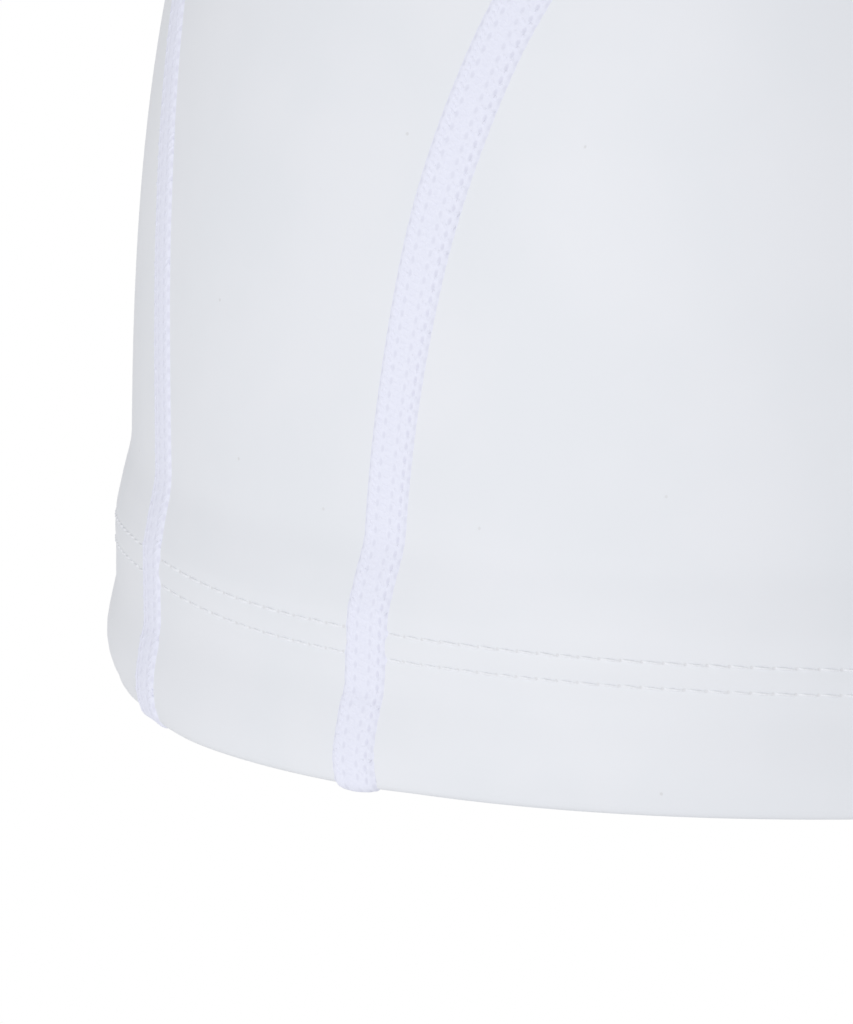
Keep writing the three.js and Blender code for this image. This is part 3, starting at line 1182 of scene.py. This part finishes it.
@dataclass(frozen=True)
class Strand:
    """One strand of a stitch.

    A point lies along the stitch in pitches, across it in widths and proud of its guide in thread radii.

    Attributes:
        start: where the strand comes out.
        end: where it goes in.
        lift: how much prouder than its ends its handles stand, in thread radii.
        thickness: share of the thread's radius.
        handles: where its handles lie, as shares of the way from its start to its end.
    """

    start: tuple[float, float, float]
    end: tuple[float, float, float]
    lift: float = 2.0
    thickness: float = 1.0
    handles: tuple[float, float] = (0.22, 0.78)

    def bends(self) -> list[tuple[float, float, float]]:
        """Start, start handle, end handle and end of the strand's curve."""
        bends = []
        for share in self.handles:
            x, y, z = (blend(a, b, share) for a, b in zip(self.start, self.end))
            bends.append((x, y, z + self.lift))
        return [self.start, *bends, self.end]


@dataclass(frozen=True)
class StitchTree:
    """Geometry Nodes tree that lays one stitch of thread at every point of a guide.

    Attributes:
        name: name of the tree.
        strands: the strands of one stitch.
        sides: number of sides of a strand.
        segments: number of segments along a strand.
        seed: seed of the small differences between stitches.
        uneven: the largest of those differences, as a share of a stitch's size.
    """

    name: str
    strands: tuple[Strand, ...]
    sides: int = 6
    segments: int = 5
    seed: int = 7
    uneven: float = 0.08

    def tree(self, material: bpy.types.Material) -> bpy.types.NodeTree:
        """Builds the tree.

        Args:
            material: the thread's finish.

        Returns:
            The tree, with inputs Pitch, Width and Thread radius.
        """
        tree = bpy.data.node_groups.new(self.name, "GeometryNodeTree")
        tree.interface.new_socket("Geometry", in_out="INPUT", socket_type="NodeSocketGeometry")
        for size in ("Pitch", "Width", "Thread radius"):
            tree.interface.new_socket(size, in_out="INPUT", socket_type="NodeSocketFloat")
        tree.interface.new_socket("Geometry", in_out="OUTPUT", socket_type="NodeSocketGeometry")
        graph = Graph(tree)
        given = graph.add("NodeGroupInput").outputs
        radius = given["Thread radius"]
        sizes = graph.first("ShaderNodeCombineXYZ", [given["Pitch"], given["Width"], radius])
        stitch = self._stitch(graph, sizes, radius)
        outward, course, stretch = (
            graph.first("GeometryNodeInputNamedAttribute", [name], data_type="FLOAT_VECTOR")
            for name in Guide.directions()
        )
        main_axes = {"primary_axis": "Z", "secondary_axis": "X"}
        turned = graph.first("FunctionNodeAxesToRotation", [outward, course], **main_axes)
        scatter = graph.add("FunctionNodeRandomValue", data_type="FLOAT_VECTOR")
        scatter.inputs[0].default_value = (1 - self.uneven,) * 3
        scatter.inputs[1].default_value = (1 + self.uneven,) * 3
        scatter.inputs["Seed"].default_value = self.seed
        placed = graph.first("GeometryNodeInstanceOnPoints", {
            "Points": given["Geometry"],
            "Instance": stitch,
            "Rotation": turned,
            "Scale": graph.scaled(scatter.outputs[0], stretch),
        })
        real = graph.first("GeometryNodeRealizeInstances", {"Geometry": placed})
        dressed = graph.first("GeometryNodeSetMaterial", {"Geometry": real, "Material": material})
        graph.add("NodeGroupOutput", [dressed])
        return tree

    def _stitch(
        self, graph: Graph, sizes: bpy.types.NodeSocket, radius: bpy.types.NodeSocket
    ) -> bpy.types.NodeSocket:
        """The strands of one stitch as tubes."""
        inputs = {"Resolution": self.sides, "Radius": radius}
        circle = graph.first("GeometryNodeCurvePrimitiveCircle", inputs)
        tubes = []
        for strand in self.strands:
            points = [graph.scaled(sizes, point) for point in strand.bends()]
            line = graph.first("GeometryNodeCurvePrimitiveBezierSegment", [self.segments, *points])
            inputs = {"Curve": line, "Profile Curve": circle, "Scale": strand.thickness, "Fill Caps": True}
            tubes.append(graph.first("GeometryNodeCurveToMesh", inputs))
        joined = graph.add("GeometryNodeJoinGeometry")
        for tube in tubes:
            graph.tree.links.new(tube, joined.inputs[0])
        return joined.outputs[0]

    def sewn(
        self, name: str, guide: "Guide", sizes: tuple[float, float, float], material: bpy.types.Material
    ) -> bpy.types.Object:
        """Lays the stitches along a guide and keeps the result as a plain mesh.

        Args:
            name: the piece's name.
            guide: where the stitches lie.
            sizes: pitch, width and thread radius.
            material: the thread's finish.

        Returns:
            The piece.
        """
        tree = self.tree(material)
        piece = guide.mesh_object(name)
        modifier = piece.modifiers.new("stitches", "NODES")
        modifier.node_group = tree
        numbers = [item for item in tree.interface.items_tree if item.socket_type == "NodeSocketFloat"]
        for socket, size in zip(numbers, sizes):
            modifier[socket.identifier] = size
        graph = bpy.context.evaluated_depsgraph_get()
        mesh = bpy.data.meshes.new_from_object(piece.evaluated_get(graph), depsgraph=graph)
        piece.modifiers.clear()
        piece.data = mesh
        mesh.name = name
        for attribute in Guide.directions():
            if attribute in mesh.attributes:
                mesh.attributes.remove(mesh.attributes[attribute])
        mesh.shade_smooth()
        return piece


@dataclass(frozen=True)
class Guide:
    """Points that stitches lie at, each with its directions and its stretch.

    Attributes:
        points: the points.
        outward: outward direction at each point.
        course: direction of sewing at each point.
        stretch: how much longer, wider and thicker the stitch is there, as shares.
    """

    points: np.ndarray
    outward: np.ndarray
    course: np.ndarray
    stretch: np.ndarray

    @classmethod
    def joined(cls, guides: Iterable["Guide"]) -> "Guide":
        """Several guides as one."""
        guides = list(guides)
        keys = ("points", *cls.directions())
        return cls(*(np.concatenate([getattr(guide, key) for guide in guides]) for key in keys))

    @staticmethod
    def directions() -> tuple[str, ...]:
        """Names of what each point carries besides its place."""
        return "outward", "course", "stretch"

    def mesh_object(self, name: str) -> bpy.types.Object:
        """The guide as a mesh of loose points with its directions as attributes."""
        mesh = bpy.data.meshes.new(name)
        mesh.vertices.add(len(self.points))
        mesh.vertices.foreach_set("co", self.points.ravel())
        for key in self.directions():
            attribute = mesh.attributes.new(key, "FLOAT_VECTOR", "POINT")
            attribute.data.foreach_set("vector", getattr(self, key).ravel())
        return in_scene(name, mesh)


HEM_DASH = (Strand(start=(-0.46, 0.035, -1.5), end=(0.46, -0.035, -1.5), lift=2.4),)
HEM_LOOPER = (
    Strand(start=(-0.5, -0.5, 0.2), end=(0.0, 0.5, 0.2), lift=1.0),
    Strand(start=(0.0, 0.5, 0.2), end=(0.5, -0.5, 0.2), lift=1.0),
    Strand(start=(-0.35, -0.5, -0.6), end=(0.35, -0.5, -0.6), lift=2.2),
    Strand(start=(-0.35, 0.5, -0.6), end=(0.35, 0.5, -0.6), lift=2.2),
)


@dataclass(frozen=True)
class HemStitches:
    """The needle threads outside the hem, a little below their groove's middle, and the loopers inside it."""

    form: CapForm
    sewing: HemSewing
    centre: CentrePanel
    side: SidePanel
    band_half: float = 3.15 * MM
    off_groove: float = -0.04 * MM

    def _row(self, angle: np.ndarray, height: np.ndarray, inside: bool) -> Guide:
        """Guide along a row of stitches at angles and heights, on the outside or the inside of the hem."""
        tiny = 1e-3
        points = self.form.outside(angle, height)
        ahead = self.form.outside(angle + tiny, height) - self.form.outside(angle - tiny, height)
        outward = self.form.outward(points)
        if inside:
            points = points - outward * self.form.hem_thickness
            outward = -outward
        else:
            points = points - outward * self.sewing.groove
        return Guide(self.form.lowered(points), outward, unit(ahead), np.ones(points.shape))

    def _angles(self, end: End | None) -> np.ndarray:
        """Angles of the stitches' middles, on the centre panel at an end or, for None, on the left panel."""
        level = np.array(self.sewing.upper_row)
        if end is None:
            stations = [self.form.station_of(level, each) for each in End]
            edges = [self.form.angle_of(self.form.beside_seam(q, self.side.edge_margin)) for q in stations]
            shares = (np.arange(self.side.stitches) + 0.5) / self.side.stitches
            return blend(edges[0], edges[1], shares)
        edge = self.form.beside_seam(self.form.station_of(level, end), -self.centre.edge_margin)
        shares = (np.arange(self.centre.stitches) + 0.5) / self.centre.stitches * 2 - 1
        angle = np.arcsin(edge[0] * shares / self.form.plan(level)[0])
        return angle if end is End.FRONT else math.pi - angle

    def _clear_of_bands(self, angle: np.ndarray, end: End | None) -> np.ndarray:
        """The angles whose stitches don't run under a seam band."""
        level = np.array(self.sewing.upper_row)
        reach = self.band_half + 0.1 * self.sewing.stitch
        distance = reach if end is None else -reach
        middle = 0 if end is End.FRONT else math.pi
        keep = np.ones(len(angle), bool)
        for each in End:
            limit = self.form.beside_seam(self.form.station_of(level, each), distance)
            limit_angle = float(self.form.angle_of(limit))
            if end is None:
                keep &= (angle - limit_angle) * each.value < 0
            elif end is each:
                off, own = (np.abs(np.angle(np.exp(1j * (at - middle)))) for at in (angle, limit_angle))
                keep &= off < own
        return angle[keep]

    def _guide(self, ends: Sequence[End | None], inside: bool, side: Side) -> Guide:
        """Guide of all rows on some stretches of the hem, the right one still laid out on the left."""
        rows = [self.sewing.row_gap / 2] if inside else [0, self.sewing.row_gap]
        found = []
        for end in ends:
            angle = self._clear_of_bands(self._angles(end), end)
            lift = self.sewing.lift(angle if side is Side.LEFT else -angle)
            for below in rows:
                height = self.sewing.upper_row + lift - below + (0 if inside else self.off_groove)
                found.append(self._row(angle, height, inside))
        return Guide.joined(found)

    def build(self, finishes: Finishes) -> list[bpy.types.Object]:
        """All stitches of the hem.

        Args:
            finishes: the cap's finishes.

        Returns:
            The pieces: centre, left and right, first outside and then inside.
        """
        dash = StitchTree("hem_needle_stitch", HEM_DASH, sides=8, segments=6)
        looper = StitchTree("hem_looper_stitch", HEM_LOOPER, sides=5, segments=4)
        made = []
        for tree, label, inside in ((dash, "hem_stitches", False), (looper, "hem_looper", True)):
            sizes = (self.sewing.stitch, self.sewing.row_gap, self.sewing.thread)
            guide = self._guide((End.FRONT, End.BACK), inside, Side.LEFT)
            made.append(tree.sewn(f"{label}_centre", guide, sizes, finishes.needle))
            for side in Side:
                guide = self._guide([None], inside, side)
                piece = tree.sewn(f"{label}_{side.value}", guide, sizes, finishes.needle)
                if side is Side.RIGHT:
                    turn_over(piece)
                made.append(piece)
        return made


@dataclass(frozen=True)
class StrandZone:
    """A zone of parallel cover threads between two columns of dimples.

    Attributes:
        start: place of its first column across the band, from 0 at the centre panel to 1 at the side panel.
        end: place of its second column.
        slant: how far the threads fall from the first column to the second, in stitches.
        count: number of threads in one stitch.
        thickness: share of the thread's radius.
        sunk: how deep the middle of a thread lies under the band's surface, in thread radii.
    """

    start: float
    end: float
    slant: float
    count: int
    thickness: float
    sunk: float

    def strands(self) -> Iterable[Strand]:
        """The threads of one stitch."""
        deep = -1.5
        margin = 0.03
        reached = 0.75
        for i in range(self.count):
            place = (i + 0.5) / self.count - 0.5
            start = (place + self.slant / 2, 0.5 - self.start - margin, deep * self.thickness)
            end = (place - self.slant / 2, 0.5 - self.end + margin, deep * self.thickness)
            lift = (-self.sunk - deep) * self.thickness / reached
            yield Strand(start, end, lift=lift, thickness=self.thickness)


COVER_ZONES = (
    StrandZone(start=0.07, end=0.31, slant=0.6, count=2, thickness=1.15, sunk=0.66),
    StrandZone(start=0.31, end=0.62, slant=0.25, count=2, thickness=1.3, sunk=0.72),
    StrandZone(start=0.62, end=0.82, slant=0.4, count=1, thickness=1.2, sunk=0.66),
    StrandZone(start=0.82, end=0.92, slant=-0.4, count=1, thickness=1.1, sunk=0.84),
)


LOOPER_STRANDS = (
    Strand(start=(-0.5, -0.44, -1.0), end=(0.1, 0.0, -1.0), lift=1.2),
    Strand(start=(0.1, 0.0, -1.0), end=(0.5, -0.44, -1.0), lift=1.2),
    Strand(start=(-0.5, 0.0, -1.0), end=(0.0, 0.44, -1.0), lift=1.2),
    Strand(start=(0.0, 0.44, -1.0), end=(0.5, 0.0, -1.0), lift=1.2),
)


@dataclass(frozen=True)
class SeamLoop:
    """The course of a seam's bands: outside from front to back, round the fold, inside to the front again.

    Attributes:
        base: points on the cloth, rows along the seam by columns across it.
        normal: direction away from the cloth at each point.
        course: direction of sewing in each row.
        outer: share of each row that counts as outside, 1 outside and 0 inside.
        phase: place of each row along the seam, in stitches.
        width: width of the band in each row.
    """

    base: np.ndarray
    normal: np.ndarray
    course: np.ndarray
    outer: np.ndarray
    phase: np.ndarray
    width: np.ndarray


@dataclass(frozen=True)
class FlatlockSeam:
    """A flatlock seam: a dimpled cover band outside, a band inside, and the threads of both."""

    form: CapForm
    sewing: HemSewing
    band_width: Course = Course(
        places=(0, 0.4, 0.75, 1.5),
        values=(6.3 * MM, 6.3 * MM, 7.0 * MM, 7.0 * MM),
    )
    pitch: float = 1.6 * MM
    thread: float = 0.25 * MM
    cover_height: float = 0.36 * MM
    inner_height: float = 0.3 * MM
    left_end_bulge: float = 0.45 * MM
    right_end_bulge: float = -0.15 * MM
    sunk: float = 0.12 * MM
    step_ramp: float = 1.8 * MM
    fold_steps: int = 10
    rows_per_pitch: int = 6
    inner_thinning: int = 3
    top_columns: int = 26
    under_thinning: int = 5
    evenness: float = 0.75
    squareness: int = 6

    @property
    def foot_width(self) -> float:
        """Width of the band at the hem."""
        return float(self._width(np.array(0.0)))

    def _stations(self, per_pitch: int) -> np.ndarray:
        """Stations at an even spacing along the seam line, a whole number of stitches from end to end."""
        samples = 1801
        dense = np.linspace(0, LAST_STATION, samples)
        length = travelled(self.form.seam(dense)[0])
        count = round(length[-1] / self.pitch) * per_pitch
        return np.interp(np.linspace(0, length[-1], count + 1), length, dense)

    def _width(self, stations: np.ndarray) -> np.ndarray:
        """Width of the band at stations."""
        return self.band_width.read(np.minimum(stations, LAST_STATION - stations))

    def _loop(self, per_pitch: int, thinning: int, shares: np.ndarray) -> SeamLoop:
        """The course that both bands follow.

        Args:
            per_pitch: number of rows for each stitch on the outside.
            thinning: how many rows of the outside each row of the inside stands for.
            shares: the columns, from -1 at the centre panel's side to 1 at the side panel's.

        Returns:
            The closed course, without its first row repeated.
        """
        form = self.form
        stations = self._stations(per_pitch)
        points, travel, sideways = form.seam(stations)
        width = self._width(stations)
        across = width[:, None] / 2 * shares[None, :]
        aside = points[:, None] + sideways[:, None] * across[..., None]
        outside = form.outside(form.angle_of(aside), aside[..., 2])
        normal, level = form.normal(outside), form.outward(outside)
        phase = np.arange(len(stations)) / per_pitch
        parts = [(outside, normal, travel, np.ones(len(stations)), phase, width)]
        parts.append(self._round_fold(outside[-1], level[-1], phase[-1], outwards=False))
        inner = slice(None, None, -thinning)
        depth = self._depth(stations, outside)[..., None]
        zeros = np.zeros(len(stations))
        parts.append(tuple(
            part[inner] for part in (outside - level * depth, -normal, -travel, zeros, phase, width)
        ))
        parts.append(self._round_fold(outside[0], level[0], 0.0, outwards=True))
        return SeamLoop(*(np.concatenate([part[key] for part in parts]) for key in range(len(parts[0]))))

    def _depth(self, stations: np.ndarray, outside: np.ndarray) -> np.ndarray:
        """Depth of the cloth's inner face, which steps down from the doubled hem to the single cloth.

        Args:
            stations: the rows' stations.
            outside: points on the outside, rows by columns by 3.

        Returns:
            The depth at each point.
        """
        form = self.form
        angle = form.angle_of(outside)
        carried = self.sewing.carried(form.hem_depth, form.hem_top)
        raw_edge = form.hem_depth + self.sewing.lift(angle) * carried
        above = smooth_step((outside[..., 2] - raw_edge) / self.step_ramp)
        on_wall = ((stations < 1) | (stations > 2))[:, None]
        return np.where(on_wall, blend(form.hem_thickness, form.cloth, above), form.cloth)

    def _round_fold(self, points: np.ndarray, level: np.ndarray, phase: float, outwards: bool) -> tuple:
        """The stretch of the course that passes under the fold of the hem.

        Args:
            points: the last or first row of the outside.
            level: outward direction at each of its points.
            phase: place of that row along the seam, in stitches.
            outwards: whether the course comes from inside to outside.

        Returns:
            The six parts of a SeamLoop for this stretch.
        """
        turns = np.linspace(0, math.pi, self.fold_steps + 1)[1:-1, None, None]
        turns = turns[::-1] if outwards else turns
        centre = points - level * self.form.fold_radius
        normal = level * np.cos(turns) - UP * np.sin(turns)
        middle = level[len(level) // 2]
        course = (-middle * np.sin(turns[:, 0]) - UP * np.cos(turns[:, 0])) * (-1 if outwards else 1)
        base = centre + normal * self.form.fold_radius
        outer = 0.5 + 0.5 * np.cos(turns[:, 0, 0])
        run = turns[:, 0, 0] * self.form.fold_radius / self.pitch
        width = np.full(len(outer), self.foot_width)
        return base, normal, course, outer, phase + (-run if outwards else run), width

    def _cover_profile(self, share: np.ndarray, phase: np.ndarray) -> np.ndarray:
        """How proud the cover band stands.

        Args:
            share: place across the band, 0 at the centre panel and 1 at the side panel.
            phase: place along the band, in stitches.

        Returns:
            The height above the cloth.
        """
        rounded = 0.12
        height = self.cover_height * smooth_step(np.minimum(share, 1 - share) / rounded)
        width = 0.035
        for column in COLUMNS:
            near = np.exp(-(((share - column.share) / width) ** 2))
            hollow = (0.5 + 0.5 * np.cos(TURN * (phase - column.phase))) ** 2
            height = height - near * (column.groove + column.depth * hollow) * MM
        return height - self.sunk / 2

    def _end_bulge(self, share: np.ndarray, loop: SeamLoop, bulge: float) -> np.ndarray:
        """How far the band stands out more where it passes under the front hem's fold.

        Args:
            share: place across the band.
            loop: the course of the band.
            bulge: the most that it stands out.

        Returns:
            The added height, rows by columns.
        """
        under_fold = 4 * loop.outer * (1 - loop.outer) * (loop.phase < 0)
        rounded = 1 - (2 * share - 1) ** 2
        return bulge * under_fold[:, None] * rounded[None, :]

    def band(self, name: str, material: bpy.types.Material, bulge: float) -> bpy.types.Object:
        """Both bands as one closed ribbon, with the thread between them.

        Args:
            name: the piece's name.
            material: the thread's finish.
            bulge: how far its front end stands out more than the rest.

        Returns:
            The piece.
        """
        top = (1 - np.cos(np.linspace(0, math.pi, self.top_columns))) / 2
        top = blend(top, np.linspace(0, 1, self.top_columns), self.evenness)
        under = top[::-self.under_thinning]
        share = np.concatenate([top, under])
        loop = self._loop(self.rows_per_pitch, self.inner_thinning, 2 * share - 1)
        phase, outer = loop.phase[:, None], loop.outer[:, None]
        plain = np.sqrt(np.clip(1 - (2 * top - 1) ** self.squareness, 0, 1))
        plain = self.inner_height * plain - self.sunk / 2
        upper = blend(plain[None, :], self._cover_profile(top[None, :], phase), outer)
        upper = upper + self._end_bulge(top, loop, bulge)
        lower = np.full((len(phase), len(under)), -self.sunk)
        points = loop.base + loop.normal * np.concatenate([upper, lower], axis=1)[..., None]
        past_columns = 9.0
        across = share[None, :] + past_columns * (outer < 0.3)
        seam_map = np.stack(np.broadcast_arrays(across, phase), axis=-1)
        numbers = np.arange(points.shape[0] * points.shape[1]).reshape(points.shape[:2])
        quads = grid_quads(np.pad(numbers, (0, 1), mode="wrap"))
        finish = np.zeros(len(quads), np.int32)
        maps = {"seam_map": seam_map.reshape(-1, 2)}
        surface = Surface(self.form.lowered(points.reshape(-1, 3)), quads, finish, maps)
        return surface.mesh_object(name, [material])

    def _guides(self) -> tuple[Guide, Guide]:
        """Guides for the cover threads outside and the looper threads inside."""
        steps = 2
        loop = self._loop(steps, 1, np.zeros(1))
        base, normal = loop.base[:, 0], loop.normal[:, 0]
        top = blend(self.inner_height, self.cover_height, loop.outer) - self.sunk / 2
        base = base + normal * top[:, None]
        guides = []
        for wanted in (1, 0):
            rows = np.flatnonzero(loop.outer == wanted)[1::steps]
            stretch = np.ones((len(rows), 3))
            stretch[:, 1] = loop.width[rows] / self.foot_width
            guides.append(Guide(self.form.lowered(base[rows]), normal[rows], loop.course[rows], stretch))
        return guides[0], guides[1]

    def build(self, finishes: Finishes) -> list[bpy.types.Object]:
        """Both seams.

        Args:
            finishes: the cap's finishes.

        Returns:
            For each side the bands, the cover threads and the looper threads.
        """
        cover_guide, looper_guide = self._guides()
        sizes = (self.pitch, self.foot_width, self.thread)
        cover_threads = tuple(strand for zone in COVER_ZONES for strand in zone.strands())
        cover = StitchTree("flatlock_cover_stitch", cover_threads, sides=5, segments=3)
        looper = StitchTree("flatlock_looper_stitch", LOOPER_STRANDS, sides=4, segments=3)
        threads = [
            cover.sewn("seam_left_cover_threads", cover_guide, sizes, finishes.cover),
            looper.sewn("seam_left_looper_threads", looper_guide, sizes, finishes.cover),
        ]
        left_band = self.band("seam_left_bands", finishes.band, self.left_end_bulge)
        right_band = self.band("seam_right_bands", finishes.band, self.right_end_bulge)
        turn_over(right_band)
        return [left_band, *threads, right_band, *(mirrored(piece) for piece in threads)]


@dataclass(frozen=True)
class CornerTuck:
    """Draws the hem's lower edge in round the front end of the right seam, on every piece alike.

    Attributes:
        form: the form of the cap.
        depth: how far the edge is drawn in at the seam.
        reach: how far that spreads round the hem.
        height: height where it ends.
    """

    form: CapForm
    depth: float = 0.9 * MM
    reach: float = 8 * MM
    height: float = 6 * MM

    def draw_in(self, pieces: Iterable[bpy.types.Object]) -> None:
        """Moves the corners of the pieces.

        Args:
            pieces: every piece of the cap.
        """
        left_foot, _, _ = self.form.seam(np.array(0.0))
        outward = self.form.outward(left_foot) * RIGHT_FOR_LEFT
        foot = self.form.lowered(left_foot) * RIGHT_FOR_LEFT
        hem_edge = self.form.lowered(np.zeros(3))[2]
        for piece in pieces:
            points = np.empty((len(piece.data.vertices), 3))
            flat = points.ravel()
            piece.data.vertices.foreach_get("co", flat)
            off = np.linalg.norm((points - foot)[:, :2], axis=1)
            low = np.clip(1 - (points[:, 2] - hem_edge) / self.height, 0, 1) ** TUCK_EASE
            inset = self.depth * low * np.exp(-((off / self.reach) ** 2))
            moved = points - outward * inset[:, None]
            piece.data.vertices.foreach_set("co", moved.ravel())
            piece.data.update()


@dataclass(frozen=True)
class Viewpoint:
    """The photograph's viewpoint."""

    turn: float = math.radians(53.399)
    rise: float = math.radians(11.732)
    distance: float = 1300 * MM
    aim_right: float = -55.523 * MM
    aim_up: float = 17.0 * MM
    pixels_per_metre: float = 8154.26
    picture_height: int = 1024
    sensor: float = 36.0
    nearest: float = 0.05
    farthest: float = 50.0

    def directions(self) -> tuple[Vector, Vector, Vector]:
        """Directions to the right, upwards and back to the camera."""
        back = Vector((
            math.sin(self.turn) * math.cos(self.rise),
            -math.cos(self.turn) * math.cos(self.rise),
            math.sin(self.rise),
        ))
        right = Vector((math.cos(self.turn), math.sin(self.turn), 0))
        return right, back.cross(right), back

    def build(self, form: CapForm) -> None:
        """The scene's camera, aimed from the middle of the hem's plane.

        Args:
            form: the form of the cap.
        """
        right, up, back = self.directions()
        hem_middle = Vector((0, 0, form.cloth - form.crown_height))
        data = bpy.data.cameras.new("camera")
        data.sensor_fit = "AUTO"
        data.sensor_width = self.sensor
        data.lens = self.sensor * self.pixels_per_metre * self.distance / self.picture_height
        data.clip_start, data.clip_end = self.nearest, self.farthest
        camera = in_scene("camera", data)
        camera.location = hem_middle + right * self.aim_right + up * self.aim_up + back * self.distance
        camera.rotation_mode = "QUATERNION"
        camera.rotation_quaternion = (-back).to_track_quat("-Z", "Y")
        bpy.context.scene.camera = camera


@dataclass(frozen=True)
class Softbox:
    """A square area light. Its direction is a mix of the camera's right, up and back directions."""

    name: str
    aim: tuple[float, float, float]
    distance: float
    size: float
    power: float
    target: tuple[float, float, float] = (0, 0, -0.08)

    def build(self, view: Viewpoint) -> None:
        """The light, turned to the cap."""
        right, up, back = view.directions()
        away = (right * self.aim[0] + up * self.aim[1] + back * self.aim[2]).normalized()
        data = bpy.data.lights.new(self.name, "AREA")
        data.size, data.energy = self.size, self.power
        light = in_scene(self.name, data)
        light.location = Vector(self.target) + away * self.distance
        light.rotation_mode = "QUATERNION"
        light.rotation_quaternion = away.to_track_quat("Z", "Y")
        light.visible_camera = False


@dataclass(frozen=True)
class Studio:
    """White floor and surroundings with soft light."""

    floor_height: float = -300 * MM
    floor_half: float = 6.0
    floor_light: float = 0.79
    surroundings: float = 0.53
    softboxes: tuple[Softbox, ...] = (
        Softbox("key_light", aim=(-0.52, -0.06, 0.85), distance=1.6, size=1.1, power=11.7),
        Softbox("back_light", aim=(0.5, 0.4, -0.9), distance=1.6, size=1.1, power=9.0),
    )

    def _white_to_the_eye(self, graph: Graph, light: float) -> bpy.types.NodeSocket:
        """Strength that looks white but lights the cap with less."""
        seen = graph.add("ShaderNodeLightPath").outputs["Is Camera Ray"]
        return graph.maths("MULTIPLY_ADD", seen, 1 - light, light)

    def build(self, view: Viewpoint) -> None:
        """Floor, surroundings and lights.

        Args:
            view: the viewpoint, which the lights are placed from.
        """
        scene = bpy.context.scene
        scene.view_settings.view_transform = "Standard"
        scene.view_settings.look = "None"
        for softbox in self.softboxes:
            softbox.build(view)
        half, z = self.floor_half, self.floor_height
        mesh = bpy.data.meshes.new("floor")
        corners = [(-half, -half, z), (half, -half, z), (half, half, z), (-half, half, z)]
        mesh.from_pydata(corners, [], [(0, 1, 2, 3)])
        material, graph = new_material("white_floor")
        graph.surface("ShaderNodeEmission", {
            "Color": colour(1, 1, 1),
            "Strength": self._white_to_the_eye(graph, self.floor_light),
        })
        mesh.materials.append(material)
        floor = in_scene("floor", mesh)
        world = bpy.data.worlds.new("studio")
        scene.world = world
        world.use_nodes = True
        graph = Graph(world.node_tree)
        strength = self._white_to_the_eye(graph, self.surroundings)
        back = graph.add("ShaderNodeBackground", {"Color": colour(1, 1, 1), "Strength": strength})
        graph.add("ShaderNodeOutputWorld", {"Surface": back.outputs[0]})


@dataclass(frozen=True)
class FlatCut:
    """The size that a panel was cut to, before a head stretched it.

    Attributes:
        width: across the cut.
        length: along the cut.
        area: its area.
    """

    width: float
    length: float
    area: float


def attach(piece: bpy.types.Object, slot: Slot, *nodes: str) -> None:
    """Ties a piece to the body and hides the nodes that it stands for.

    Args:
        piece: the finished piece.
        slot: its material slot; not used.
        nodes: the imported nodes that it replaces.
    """
    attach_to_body(piece, BODY)
    if nodes:
        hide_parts(*nodes)
    log.info("%s: %d faces", piece.name, len(piece.data.polygons))


def main() -> None:
    """Builds the camera, the cap and the studio."""
    logging.basicConfig(level=logging.INFO, format="%(name)s: %(message)s")
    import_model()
    form, sewing = CapForm(), HemSewing()
    view = Viewpoint()
    view.build(form)
    finishes = Finishes.made_for(sewing)

    centre = CentrePanel(form, sewing)
    centre_cloth = centre.build(finishes)
    attach(centre_cloth, Slot.CLOTH, "centre_panel")
    side_cloths = {}
    for side in Side:
        side_cloths[side] = SidePanel(form, sewing, side=side).build(finishes)
        attach(side_cloths[side], Slot.CLOTH, f"side_panel_{side.value}")

    stitches = HemStitches(form, sewing, centre, SidePanel(form, sewing)).build(finishes)
    for piece in stitches:
        attach(piece, Slot.THREAD)
    seams = FlatlockSeam(form, sewing).build(finishes)
    CornerTuck(form).draw_in([centre_cloth, *side_cloths.values(), *stitches, *seams])
    for piece in seams:
        nodes = [piece.name.removesuffix("_bands")] if piece.name.endswith("_bands") else []
        attach(piece, Slot.THREAD, *nodes)

    Studio().build(view)


if __name__ == "__main__":
    main()
